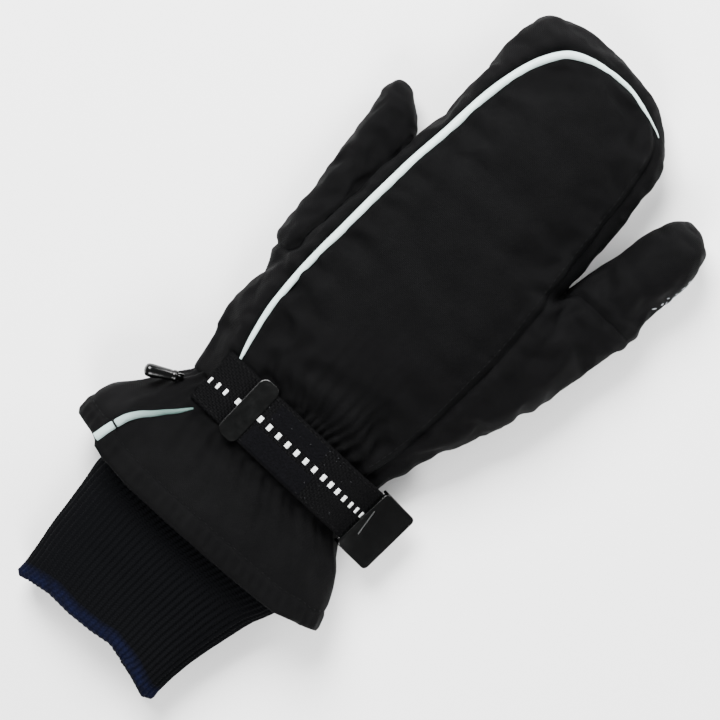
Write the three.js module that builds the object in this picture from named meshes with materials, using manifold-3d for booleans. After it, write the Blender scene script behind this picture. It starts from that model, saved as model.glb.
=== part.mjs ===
import * as THREE from "three";
import { mergeVertices } from "three/addons/utils/BufferGeometryUtils.js";
import Module from "manifold-3d";

// A padded riding mitt for the right hand, lying palm down. Three fingers share one compartment,
// and the thumb and the little finger have their own. Millimetres: X runs across the hand towards
// the little finger, Y from the cuff to the fingertips, Z up from the palm to the back of the hand.
// The origin is on the flat face that the palm rests on.

// The hand.
const handLength = 209; // from the strap's middle line to the tip of the three-finger compartment
const handWidth = 84; // across the three-finger compartment
const handThickness = 38; // of the padded hand over the knuckles
const strapLineY = -61.5; // where the strap crosses the wrist
const thumbReach = 0.691 * handLength; // from the strap line to the tip of the thumb
const littleReach = 0.852 * handLength; // from the strap line to the tip of the little finger
const shellWall = 3.5; // outer cloth, padding and lining together
const restPress = 2.5; // how far the soft underside is pressed flat where it lies
const handMesh = { around: 28, along: 20 };
const fingerMesh = { around: 16, along: 12 };
const tipEase = 1.5; // sections stand closer towards a fingertip
const tipClosing = 6; // how late along a finger its hollow draws back from the tip
const hollowLead = 1.2; // how far the hollow starts before the outside does
const mostWall = 0.45; // share of a section that one wall may take at a tip

// The seams.
const seamGap = 0.3; // between two pieces that are sewn together
const palmSeamHeight = 9; // where the palm's tray meets the sides
const thumbSeamShare = 0.415; // of the thumb's reach, where the thumb is sewn on

// The cuffs.
const wristEnd = 2.5; // from the strap line to the end of the hand's shell
const gauntletLength = 52.3; // from there to the middle of the hem
const gauntletLeft = 75.6; // hem edge on the thumb's side, from the hand's middle line
const gauntletRight = 56.8; // hem edge on the little finger's side
const gauntletHeight = 42; // at the hem
const gauntletWall = 1.8;
const hemEdge = { left: 0.48, right: 0.43 }; // height of the hem's two edges, as its shares
const hemRise = { left: 10.5, right: 6.2 }; // how much shorter the hem's two sides are
const hemCurve = 6; // how late across the hem its sides turn back
const hemWave = { depth: 1.8, count: 8 };
const wristGather = { depth: 0.9, count: 12, early: 0.6 };
const gauntletMesh = { around: 48, along: 8 };
const cuffLength = 107.2; // of the knitted inner cuff, from the end of the hand's shell
const cuffWidth = 75; // of its hem
const cuffHeight = 27;
const cuffWall = 1.8;
const cuffPoints = 34;
const cuffWave = { depth: 0.6, count: 5 };
const cuffDrop = 8; // how late along the cuff its hem's shape shows
const openEnd = 0.01; // share of a cuff's length that its hollow runs past both ends

// The piping.
const pipingWidth = 3.3;
const pipingHeight = 1.5;
const pipingSides = 8;
const pipingStations = 24;
const pipingTurn = 0.93; // share of the hand's length where the long piping turns across
const pipingEase = { start: 0.7, gain: 2, end: 0.35, loss: 6 }; // its width towards both ends

// The wrist strap and its buckle.
const strapWidth = 25.2;
const strapThickness = 1.6;
const strapLeft = -43.5; // sewn end
const strapLeaves = 33; // where the strap leaves the wrist's side
const strapRun = 9.2; // from there to the buckle's bar
const strapSlope = THREE.MathUtils.degToRad(41);
const strapTurn = THREE.MathUtils.degToRad(-2.6); // in plan, from straight across
const tongueEnd = -27.9; // end of the layer that is folded back
const layerGap = 0.3;
const strapStep = 4.2; // between two bends of the strap
const strapBends = 3; // on its way from the wrist's side to the bar
const strapFeel = { reach: 2, step: 2 }; // how the strap meets what lies beside and under it
const buckleSlope = THREE.MathUtils.degToRad(31);
const buckleReach = { inner: 5.2, outer: 12.7 }; // from the bar to the plate's two edges
const buckleWall = 1.45;
const plateThickness = 2.2;
const plateDish = 0.5;
const plateCorner = 1.8;
const plateEdge = { chamfer: 0.6, lip: 0.7, step: 3 };
const cheekOverlap = 0.2; // of a cheek and the plate above it
const cheekShare = 0.7; // of the plate's outer reach that the cheeks run under
const barRadius = 1.1;

// The toggle on the cord at the thumb's side.
const toggleLength = 14;
const toggleRadius = 2.7;
const toggleSides = 12;
const toggleNeck = { length: 2.6, radius: 1.5 };
const toggleRim = 0.6;
const togglePlace = { along: 0.06, angle: THREE.MathUtils.degToRad(154) };
const toggleHeading = THREE.MathUtils.degToRad(208);
const toggleRise = THREE.MathUtils.degToRad(12);

const halfTurn = Math.PI;
const fullTurn = 2 * Math.PI;
const roundness = 2.4; // exponent of the sections: 2 is an ellipse, more is squarer

const wasm = await Module();
wasm.setup();

// Rows of a table as objects with named columns.
const table = (names, rows) =>
  rows.map((row) => Object.fromEntries(names.split(" ").map((name, i) => [name, row[i]])));

// The hand's sections. Along is a share of the hand's length from the strap line, left and right
// are shares of its width from its middle line, and the heights are shares of its thickness.
// Under is the roundness below the left edge, where the thumb lies under the hand.
const handRows = table("along left right top leftEdge rightEdge bottom under", [
  [-0.012, -0.61, 0.444, 0.79, 0.395, 0.26, 0.04, 2.4],
  [0.07, -0.634, 0.468, 0.815, 0.395, 0.26, 0.02, 2.4],
  [0.118, -0.673, 0.507, 0.87, 0.395, 0.315, 0, 2.4],
  [0.176, -0.681, 0.566, 0.935, 0.42, 0.37, 0, 2.4],
  [0.231, -0.645, 0.634, 0.975, 0.5, 0.395, 0, 2.3],
  [0.314, -0.605, 0.712, 1, 0.63, 0.395, 0, 1.8],
  [0.392, -0.58, 0.761, 1, 0.71, 0.395, 0, 1.6],
  [0.471, -0.561, 0.732, 1, 0.71, 0.395, 0, 1.6],
  [0.529, -0.546, 0.654, 1, 0.71, 0.395, 0, 1.6],
  [0.569, -0.534, 0.571, 0.985, 0.7, 0.395, 0, 1.6],
  [0.594, -0.527, 0.523, 0.975, 0.685, 0.395, 0, 1.6],
  [0.647, -0.515, 0.513, 0.92, 0.605, 0.395, 0, 1.9],
  [0.706, -0.498, 0.512, 0.895, 0.5, 0.395, 0, 2.2],
  [0.784, -0.485, 0.505, 0.84, 0.447, 0.395, 0, 2.4],
  [0.863, -0.488, 0.505, 0.763, 0.42, 0.37, 0, 2.4],
  [0.902, -0.48, 0.476, 0.737, 0.395, 0.37, 0, 2.4],
  [0.941, -0.463, 0.376, 0.68, 0.34, 0.315, 0, 2.4],
  [0.961, -0.446, 0.315, 0.592, 0.3, 0.29, 0.02, 2.4],
  [0.98, -0.39, 0.234, 0.474, 0.275, 0.275, 0.08, 2.4],
  [0.992, -0.312, 0.098, 0.38, 0.26, 0.26, 0.145, 2.4],
  [1, -0.22, -0.024, 0.29, 0.25, 0.25, 0.2, 2.4],
]);

// The thumb, with along as a share of its own reach.
const thumbRows = table("along left right top leftEdge rightEdge bottom", [
  [0.284, -0.629, -0.3, 0.66, 0.38, 0.38, 0.03],
  [0.335, -0.644, -0.33, 0.65, 0.36, 0.36, 0],
  [0.398, -0.695, -0.4, 0.64, 0.33, 0.33, 0],
  [0.455, -0.741, -0.455, 0.63, 0.32, 0.32, 0],
  [0.511, -0.741, -0.475, 0.62, 0.31, 0.31, 0],
  [0.568, -0.744, -0.488, 0.61, 0.31, 0.31, 0],
  [0.68, -0.756, -0.505, 0.61, 0.31, 0.31, 0],
  [0.795, -0.773, -0.517, 0.61, 0.31, 0.31, 0],
  [0.852, -0.78, -0.524, 0.61, 0.31, 0.31, 0],
  [0.909, -0.793, -0.541, 0.58, 0.29, 0.29, 0],
  [0.937, -0.802, -0.583, 0.53, 0.28, 0.28, 0.01],
  [0.966, -0.8, -0.632, 0.47, 0.27, 0.27, 0.04],
  [0.98, -0.795, -0.666, 0.42, 0.26, 0.26, 0.08],
  [1, -0.756, -0.712, 0.33, 0.25, 0.25, 0.17],
]);

// The little finger, with along as a share of its own reach.
const littleRows = table("along left right top leftEdge rightEdge bottom", [
  [0.43, 0.4, 0.775, 0.78, 0.395, 0.395, 0],
  [0.461, 0.395, 0.795, 0.82, 0.395, 0.395, 0],
  [0.553, 0.454, 0.834, 0.79, 0.37, 0.37, 0],
  [0.645, 0.505, 0.888, 0.75, 0.36, 0.36, 0],
  [0.691, 0.526, 0.915, 0.74, 0.36, 0.36, 0],
  [0.714, 0.534, 0.92, 0.735, 0.355, 0.355, 0],
  [0.737, 0.549, 0.912, 0.73, 0.35, 0.35, 0],
  [0.765, 0.563, 0.899, 0.725, 0.35, 0.35, 0],
  [0.783, 0.571, 0.912, 0.72, 0.34, 0.34, 0],
  [0.829, 0.595, 0.929, 0.7, 0.34, 0.34, 0],
  [0.876, 0.62, 0.944, 0.68, 0.33, 0.33, 0],
  [0.922, 0.646, 0.944, 0.65, 0.32, 0.32, 0],
  [0.945, 0.666, 0.934, 0.62, 0.31, 0.31, 0],
  [0.968, 0.693, 0.915, 0.55, 0.29, 0.29, 0.02],
  [0.979, 0.712, 0.888, 0.5, 0.28, 0.28, 0.05],
  [0.991, 0.744, 0.834, 0.42, 0.26, 0.26, 0.12],
  [1, 0.766, 0.795, 0.33, 0.25, 0.25, 0.18],
]);

// The back panel's two seams, in the hand's shares. The piping covers the left one and the tip.
const panelRows = table("along left right", [
  [0.039, -0.454, 0.371],
  [0.065, -0.463, 0.385],
  [0.118, -0.493, 0.42],
  [0.196, -0.52, 0.454],
  [0.275, -0.522, 0.473],
  [0.392, -0.503, 0.493],
  [0.471, -0.489, 0.493],
  [0.588, -0.462, 0.473],
  [0.667, -0.433, 0.463],
  [0.784, -0.4, 0.449],
  [0.824, -0.383, 0.439],
  [0.863, -0.353, 0.429],
  [0.882, -0.333, 0.42],
  [0.902, -0.307, 0.405],
  [0.922, -0.273, 0.376],
  [0.942, -0.22, 0.312],
  [0.951, -0.171, 0.263],
  [0.958, -0.122, 0.205],
  [0.963, -0.068, 0.137],
  [0.966, 0, 0.049],
]);

// The seam that cuts the little finger off, in the hand's shares: from the web up the gap between
// the two compartments, and out past the finger.
const littleSeam = table("across along", [
  [0.525, 0.594],
  [0.551, 0.676],
  [0.576, 0.784],
  [0.624, 0.882],
  [1.2, 0.882],
  [1.2, 0.588],
]);

// How the gauntlet opens from the wrist to the hem: shares of its length and of its flare.
const flareRows = table("along left right rise", [
  [0, 0, 0, 0],
  [0.15, 0.23, 0.03, 0.04],
  [0.3, 0.41, 0.15, 0.12],
  [0.42, 0.55, 0.41, 0.3],
  [0.53, 0.7, 0.59, 0.5],
  [0.7, 0.87, 0.8, 0.75],
  [0.85, 0.975, 0.92, 0.92],
  [1, 1, 1, 1],
]);

// The knitted cuff beyond the wrist: shares of its length, its width and its height.
const cuffRows = table("along left right top leftEdge rightEdge bottom", [
  [0.2, -0.7, 0.5, 1.06, 0.56, 0.48, 0.09],
  [0.35, -0.72, 0.535, 1.07, 0.56, 0.52, 0.085],
  [0.49, -0.735, 0.53, 1.06, 0.55, 0.54, 0.1],
  [0.58, -0.724, 0.47, 1.03, 0.5, 0.5, 0],
  [0.7, -0.708, 0.417, 1.01, 0.5, 0.5, 0],
  [0.85, -0.695, 0.37, 1, 0.5, 0.5, 0],
  [1, -0.672, 0.328, 1, 0.5, 0.5, 0],
]);
const cuffHem = { left: 0.8, right: 6.5 }; // how much further the hem hangs down on each side
const cuffNeck = 0.05; // share of the cuff's length where it has drawn in past the gathers

// The piping on the gauntlet, from the hem to the strap: shares of the gauntlet's length and of
// the distance from its middle to its left edge.
const cuffPipingRows = table("along across width", [
  [0.955, 0.8, 1],
  [0.88, 0.79, 1],
  [0.78, 0.785, 1],
  [0.66, 0.775, 1],
  [0.55, 0.765, 1],
  [0.45, 0.75, 0.95],
  [0.36, 0.73, 0.85],
  [0.29, 0.71, 0.7],
]);

// A table's row at any place along it, on smooth curves through its rows.
function rowAt(rows, along) {
  const last = rows.length - 1;
  let i = 0;
  while (i < last - 1 && along > rows[i + 1].along) i += 1;
  const slope = (k, name) => {
    const a = rows[Math.max(k - 1, 0)];
    const b = rows[Math.min(k + 1, last)];
    return (b[name] - a[name]) / (b.along - a.along);
  };
  const span = rows[i + 1].along - rows[i].along;
  const t = THREE.MathUtils.clamp((along - rows[i].along) / span, 0, 1);
  const out = { along };
  for (const name of Object.keys(rows[i])) {
    if (name === "along") continue;
    const a = rows[i][name];
    const b = rows[i + 1][name];
    const rise = (2 * t - 3) * t * t * (a - b) + a;
    out[name] = rise + span * t * (1 - t) * ((1 - t) * slope(i, name) - t * slope(i + 1, name));
  }
  return out;
}

// A row of shares as a section in millimetres.
function section(row, width = handWidth, height = handThickness) {
  return {
    left: row.left * width,
    right: row.right * width,
    top: row.top * height,
    leftEdge: row.leftEdge * height,
    rightEdge: row.rightEdge * height,
    bottom: Math.max(row.bottom, 0) * height,
    under: row.under ?? roundness,
  };
}

const handAt = (y) => section(rowAt(handRows, (y - strapLineY) / handLength));

// A point of a section, at an angle from the little finger's side over the back.
function sectionPoint(s, angle, inset, dent = 0) {
  const across = Math.cos(angle);
  const up = Math.sin(angle);
  const depth = inset + dent;
  const middle = (s.left + s.right) / 2;
  const side = across >= 0 ? s.right - depth : s.left + depth;
  const edge = across >= 0 ? s.rightEdge : s.leftEdge;
  const end = up >= 0 ? s.top - depth : s.bottom - restPress + depth;
  const power = 2 / (up < 0 && across < 0 ? s.under : roundness);
  const x = middle + (side - middle) * Math.abs(across) ** power;
  const z = edge + (end - edge) * Math.abs(up) ** power;
  return { x, z: Math.max(z, s.bottom + inset) };
}

// Height of a section's upper surface at x.
function topOf(s, x) {
  const middle = (s.left + s.right) / 2;
  const side = x >= middle ? s.right : s.left;
  const edge = x >= middle ? s.rightEdge : s.leftEdge;
  const share = Math.min(Math.abs((x - middle) / (side - middle)), 1);
  return edge + (s.top - edge) * (1 - share ** roundness) ** (1 / roundness);
}

// Places from one value to another, through every stop on the way, in steps no longer than wanted.
function places(stops, step) {
  const out = [stops[0]];
  for (let i = 1; i < stops.length; i += 1) {
    const parts = Math.max(1, Math.ceil(Math.abs(stops[i] - stops[i - 1]) / step));
    for (let k = 1; k <= parts; k += 1) {
      out.push(stops[i - 1] + ((stops[i] - stops[i - 1]) * k) / parts);
    }
  }
  return out;
}

const turns = (count) => Array.from({ length: count }, (_, i) => (fullTurn * i) / count);
const evenly = (count) => Array.from({ length: count + 1 }, (_, i) => i / count);

// A closed skin over rings of equally many points, with a flat fan over each end.
function loft(rings) {
  const count = rings[0].length;
  const points = rings.flat();
  const middle = (ring) =>
    ring.reduce((sum, p) => sum.add(p), new THREE.Vector3()).divideScalar(count);
  const start = points.push(middle(rings[0])) - 1;
  const end = points.push(middle(rings[rings.length - 1])) - 1;
  const index = [];
  for (let i = 0; i < count; i += 1) {
    const j = (i + 1) % count;
    index.push(start, i, j);
    for (let r = 0; r < rings.length - 1; r += 1) {
      const a = r * count;
      const b = a + count;
      index.push(a + i, b + i, a + j, a + j, b + i, b + j);
    }
    const last = (rings.length - 1) * count;
    index.push(end, last + j, last + i);
  }
  return new THREE.BufferGeometry().setFromPoints(points).setIndex(index);
}

// A closed geometry as a solid that can be joined and cut, with its faces out.
function solid(geometry) {
  const bare = geometry.clone();
  bare.deleteAttribute("normal");
  bare.deleteAttribute("uv");
  const merged = mergeVertices(bare, 1e-4);
  const triVerts = new Uint32Array(merged.index.array);
  const vertProperties = merged.attributes.position.array;
  const made = new wasm.Manifold(new wasm.Mesh({ numProp: 3, vertProperties, triVerts }));
  if (made.volume() > 0) return made;
  triVerts.reverse();
  return new wasm.Manifold(new wasm.Mesh({ numProp: 3, vertProperties, triVerts }));
}

// The main body of a cut solid, without the crumbs that a cut can leave beside it.
function mainBody(cut) {
  const bodies = cut.decompose();
  return bodies.reduce((best, body) => (body.volume() > best.volume() ? body : best));
}

// A flat outline standing along Z, from one height to another.
function prism(outline, low, high) {
  const shape = new THREE.Shape(outline.map(([x, y]) => new THREE.Vector2(x, y)));
  const geometry = new THREE.ExtrudeGeometry(shape, { depth: high - low, bevelEnabled: false });
  return solid(geometry.translate(0, 0, low));
}

// An outline in X and Z, extruded along Y about the middle.
function acrossHand(outline, width) {
  const shape = new THREE.Shape(outline.map((p) => new THREE.Vector2(p.x, p.z)));
  const geometry = new THREE.ExtrudeGeometry(shape, { depth: width, bevelEnabled: false });
  return geometry.rotateX(halfTurn / 2).translate(0, width / 2, 0);
}

function asMesh(name, body, material) {
  const mesh = body.getMesh();
  const geometry = new THREE.BufferGeometry()
    .setAttribute("position", new THREE.BufferAttribute(new Float32Array(mesh.vertProperties), 3))
    .setIndex(new THREE.BufferAttribute(new Uint32Array(mesh.triVerts), 1));
  const flat = geometry.toNonIndexed();
  flat.computeVertexNormals();
  const made = new THREE.Mesh(flat, material);
  made.name = name;
  return made;
}

const cloth = (color, roughness) => new THREE.MeshStandardMaterial({ color, roughness });
const softshell = cloth(0x0b0b0d, 0.9);
const palmGrip = cloth(0x101011, 0.7);
const knit = cloth(0x0a0b12, 0.95);
const reflective = cloth(0xd7e6e4, 0.45);
const webbing = cloth(0x111113, 0.85);
const gloss = cloth(0x060607, 0.18);

// One compartment of the hand: its outside with inset 0, its hollow with the wall as inset.
// A hollow stops short of the tip by the same wall, and starts before the outside does.
function compartment(rows, reach, mesh, inset, from = rows[0].along) {
  const lead = inset > 0 ? hollowLead : 0;
  const rings = evenly(mesh.along).map((step) => {
    const share = 1 - (1 - step) ** tipEase;
    const along = from + (1 - from) * share;
    const y = strapLineY + along * reach - inset * share ** tipClosing - lead * (1 - share);
    const s = section(rowAt(rows, along));
    return turns(mesh.around).map((angle) => {
      const wall = Math.min(inset, mostWall * Math.min(s.right - s.left, s.top - s.bottom));
      const p = sectionPoint(s, angle, wall);
      return new THREE.Vector3(p.x, y, p.z);
    });
  });
  return solid(loft(rings));
}

const handForm = (inset) => compartment(handRows, handLength, handMesh, inset);
const littleForm = (inset) => compartment(littleRows, littleReach, fingerMesh, inset);
const thumbForm = (inset, from) => compartment(thumbRows, thumbReach, fingerMesh, inset, from);

// The volume over the back panel, from the middle of the hollow up, between its two seams.
function panelForm(shift) {
  const lid = 2 * handThickness;
  const rings = panelRows.map((seam) => {
    const y = strapLineY + seam.along * handLength;
    const s = handAt(y);
    const left = seam.left * handWidth + shift;
    const right = seam.right * handWidth - shift;
    const end = seam.along < 0.5 ? y + shift : y - shift;
    const low = { left: s.leftEdge + shift, right: s.rightEdge + shift };
    const corners = [[left, low.left], [left, lid], [right, lid], [right, low.right]];
    return corners.map(([x, z]) => new THREE.Vector3(x, end, z));
  });
  return solid(loft(rings));
}

const wristY = strapLineY - wristEnd;

// The hand as five sewn pieces that share one hollow.
function handPieces() {
  const outside = handForm(0).add(thumbForm(0)).add(littleForm(0));
  const hollow = handForm(shellWall).add(thumbForm(shellWall)).add(littleForm(shellWall));
  const whole = outside.subtract(hollow);
  const half = seamGap / 2;

  const seam = littleSeam.map((p) => [p.across * handWidth, strapLineY + p.along * handLength]);
  const littleRegion = prism(seam, -handThickness, 2 * handThickness);
  const little = mainBody(whole.intersect(littleRegion.translate([half, half, 0])));
  let rest = whole.subtract(littleRegion.translate([-half, -half, 0]));

  const thumb = mainBody(whole.intersect(thumbForm(-half, thumbSeamShare)));
  const before = thumbSeamShare - seamGap / thumbReach;
  rest = rest.subtract(thumbForm(-half - seamGap, before));

  const wide = 2 * handLength;
  const corners = [[-wide, -wide], [wide, -wide], [wide, wide], [-wide, wide]];
  const palm = mainBody(rest.intersect(prism(corners, -wide, palmSeamHeight - half)));
  rest = rest.intersect(prism(corners, palmSeamHeight + half, wide));

  const back = mainBody(rest.intersect(panelForm(half)));
  const shell = mainBody(rest.subtract(panelForm(-half)));
  return [
    asMesh("back_panel", back, softshell),
    asMesh("hand_shell", shell, softshell),
    asMesh("palm_panel", palm, palmGrip),
    asMesh("little_finger", little, softshell),
    asMesh("thumb", thumb, softshell),
  ];
}

// The gauntlet's section at a share of its length.
function gauntletAt(along) {
  const wrist = handAt(wristY);
  const flare = rowAt(flareRows, along);
  const between = THREE.MathUtils.lerp;
  return {
    ...wrist,
    left: between(wrist.left, -gauntletLeft, flare.left),
    right: between(wrist.right, gauntletRight, flare.right),
    top: between(wrist.top, gauntletHeight, flare.rise),
    leftEdge: between(wrist.leftEdge, gauntletHeight * hemEdge.left, flare.rise),
    rightEdge: between(wrist.rightEdge, gauntletHeight * hemEdge.right, flare.rise),
    bottom: between(wrist.bottom, 0, Math.min(2 * along, 1)),
  };
}

// How far the gauntlet reaches at a share across, from -1 at its left edge to 1 at its right.
function gauntletReach(across) {
  const side = across < 0 ? hemRise.left : hemRise.right;
  return gauntletLength - side * Math.abs(across) ** hemCurve;
}

// A point of the gauntlet's surface: gathered at the wrist and wavy at the hem.
function gauntletPoint(along, angle, inset) {
  const s = gauntletAt(along);
  const inside = THREE.MathUtils.clamp(along, 0, 1);
  const fold = (wave, phase) => (wave.depth / 2) * (1 + Math.cos(wave.count * angle + phase));
  const dent =
    fold(wristGather, 0) * Math.sin(halfTurn * inside ** wristGather.early) +
    fold(hemWave, halfTurn) * along * along;
  const p = sectionPoint(s, angle, inset, dent);
  const outer = sectionPoint(s, angle, 0);
  const middle = (s.left + s.right) / 2;
  const across = (outer.x - middle) / ((s.right - s.left) / 2);
  const y = wristY - seamGap - along * gauntletReach(across);
  return new THREE.Vector3(p.x, y, p.z);
}

function gauntlet() {
  const skin = (inset, from, to) => {
    const rings = evenly(gauntletMesh.along).map((step) => {
      const along = from + (to - from) * step;
      return turns(gauntletMesh.around).map((angle) => gauntletPoint(along, angle, inset));
    });
    return solid(loft(rings));
  };
  const body = skin(0, 0, 1).subtract(skin(gauntletWall, -openEnd, 1 + openEnd));
  return asMesh("gauntlet", body, softshell);
}

// The knitted cuff starts inside the gauntlet's wall and comes out below its hem.
function stormCuff() {
  const wrist = handAt(wristY);
  const within = (along, inside) => ({
    along,
    left: (wrist.left + inside) / cuffWidth,
    right: (wrist.right - inside) / cuffWidth,
    top: (wrist.top - inside) / cuffHeight,
    leftEdge: wrist.leftEdge / cuffHeight,
    rightEdge: wrist.rightEdge / cuffHeight,
    bottom: (wrist.bottom + gauntletWall + seamGap) / cuffHeight,
  });
  const sewn = gauntletWall + seamGap;
  const rows = [within(0, sewn), within(cuffNeck, sewn + wristGather.depth), ...cuffRows];
  const skin = (inset, from, to) => {
    const stops = [from, ...rows.map((row) => row.along).slice(1, -1), to];
    const rings = stops.map((along) => {
      const s = section(rowAt(rows, along), cuffWidth, cuffHeight);
      return turns(cuffPoints).map((angle) => {
        const p = sectionPoint(s, angle, inset);
        const across = Math.cos(angle);
        const hang = (across < 0 ? cuffHem.left : cuffHem.right) * across * across;
        const wave = cuffWave.depth * Math.cos(cuffWave.count * angle);
        const y = wristY - seamGap - along * cuffLength - (hang + wave) * along ** cuffDrop;
        return new THREE.Vector3(p.x, y, p.z);
      });
    });
    return solid(loft(rings));
  };
  const hollow = skin(cuffWall, -openEnd, 1 + openEnd);
  return asMesh("storm_cuff", skin(0, 0, 1).subtract(hollow), knit);
}

// A half-round cord sewn along a surface: a section across the path at each of its places.
function piping(name, path) {
  const rings = path.map(({ point, normal, width }, i) => {
    const before = path[Math.max(i - 1, 0)].point;
    const after = path[Math.min(i + 1, path.length - 1)].point;
    const side = new THREE.Vector3().crossVectors(after.clone().sub(before), normal).normalize();
    return turns(pipingSides).map((angle) =>
      point
        .clone()
        .addScaledVector(side, (Math.cos(angle) * pipingWidth * width) / 2)
        .addScaledVector(normal, seamGap + ((1 + Math.sin(angle)) * pipingHeight) / 2),
    );
  });
  return asMesh(name, solid(loft(rings)), reflective);
}

// The hand's upper surface at a place in plan, and the direction out of it.
function onHand(x, y) {
  const step = 0.5;
  const height = (dx, dy) => topOf(handAt(y + dy), x + dx);
  const normal = new THREE.Vector3(
    height(-step, 0) - height(step, 0),
    height(0, -step) - height(0, step),
    2 * step,
  );
  return { point: new THREE.Vector3(x, y, height(0, 0)), normal: normal.normalize() };
}

// The long piping runs up the panel's left seam, over the tip and down to the far corner.
function handPiping() {
  const strapEdge = strapWidth / 2 + strapLeft * Math.tan(strapTurn) + 2 * seamGap;
  const start = rowAt(panelRows, strapEdge / handLength);
  const up = [start, ...panelRows.filter((row) => row.along > start.along)];
  const over = up.filter((row) => row.along > pipingTurn).reverse();
  const seam = [
    ...up.map((row) => [row.left, row.along]),
    ...over.map((row) => [row.right, row.along]),
  ].map(([x, along]) => new THREE.Vector3(x * handWidth, strapLineY + along * handLength, 0));
  const curve = new THREE.CatmullRomCurve3(seam, false, "centripetal");
  const path = curve.getSpacedPoints(pipingStations).map((p, i) => {
    const left = (pipingStations - i) / pipingStations;
    const { start: first, gain, end: last, loss } = pipingEase;
    const width = Math.min(1, last + left * loss, first + (1 - left) * gain);
    return { ...onHand(p.x, p.y), width };
  });
  return piping("hand_piping", path);
}

// The gauntlet's upper surface at shares of its length and of its left half.
function onGauntlet(along, across) {
  const s = gauntletAt(along);
  const middle = (s.left + s.right) / 2;
  const x = middle + across * (s.left - middle);
  const y = wristY - seamGap - along * gauntletReach(-across);
  return new THREE.Vector3(x, y, topOf(s, x));
}

function cuffPiping() {
  const step = 0.02;
  const path = cuffPipingRows.map(({ along, across, width }) => {
    const point = onGauntlet(along, across);
    const forward = onGauntlet(along + step, across).sub(point);
    const aside = onGauntlet(along, across + step).sub(point);
    return { point, normal: forward.cross(aside).normalize().negate(), width };
  });
  if (path[0].normal.z < 0) path.forEach((p) => p.normal.negate());
  return piping("cuff_piping", path);
}

// The line in X and Z that the strap follows: just above every section that it crosses, and then
// straight down from the wrist's side.
function strapLine() {
  const reach = strapWidth / 2 + strapFeel.reach;
  const height = (x) => {
    const line = strapLineY + x * Math.tan(strapTurn);
    return Math.max(
      ...places([-reach, reach], strapFeel.step).map((dy) => {
        const y = line + dy;
        const along = Math.max(0, (wristY - seamGap - y) / gauntletLength);
        return topOf(y > wristY ? handAt(y) : gauntletAt(along), x);
      }),
    );
  };
  const across = places([strapLeft, strapLeaves], strapStep);
  const line = across.map((x) => ({ x, z: height(x) + seamGap }));
  const last = line[line.length - 1];
  for (const share of evenly(strapBends).slice(1)) {
    const run = share * strapRun;
    line.push({ x: last.x + run * Math.cos(strapSlope), z: last.z - run * Math.sin(strapSlope) });
  }
  return line;
}

// A line in X and Z moved sideways, to its left as it runs.
function beside(line, distance) {
  return line.map((p, i) => {
    const a = line[Math.max(i - 1, 0)];
    const b = line[Math.min(i + 1, line.length - 1)];
    const length = Math.hypot(b.x - a.x, b.z - a.z);
    return {
      x: p.x - ((b.z - a.z) / length) * distance,
      z: p.z + ((b.x - a.x) / length) * distance,
    };
  });
}

// The buckle's own directions: out along its plate, and up through it.
const out = { x: Math.cos(buckleSlope), z: -Math.sin(buckleSlope) };
const up = { x: Math.sin(buckleSlope), z: Math.cos(buckleSlope) };
const foldRadius = barRadius + seamGap + strapThickness / 2;

// The strap as one ribbon: sewn layer, fold round the buckle's bar, and the layer folded back.
function strapAndBar() {
  const line = strapLine();
  const lower = beside(line, strapThickness / 2);
  const upper = beside(line, 1.5 * strapThickness + layerGap).filter((p) => p.x > tongueEnd);
  const lowEnd = lower.pop();
  const highEnd = upper.pop();
  const bar = {
    x: (lowEnd.x + highEnd.x) / 2 + foldRadius * out.x,
    z: (lowEnd.z + highEnd.z) / 2 + foldRadius * out.z,
  };
  const fold = places([-halfTurn / 2, halfTurn / 2], halfTurn / 8).map((angle) => ({
    x: bar.x + foldRadius * (out.x * Math.cos(angle) + up.x * Math.sin(angle)),
    z: bar.z + foldRadius * (out.z * Math.cos(angle) + up.z * Math.sin(angle)),
  }));
  const centre = [...lower, ...fold, ...upper.reverse()];
  const left = beside(centre, strapThickness / 2);
  const right = beside(centre, -strapThickness / 2);
  return { strap: acrossHand([...left, ...right.reverse()], strapWidth), bar };
}

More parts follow.
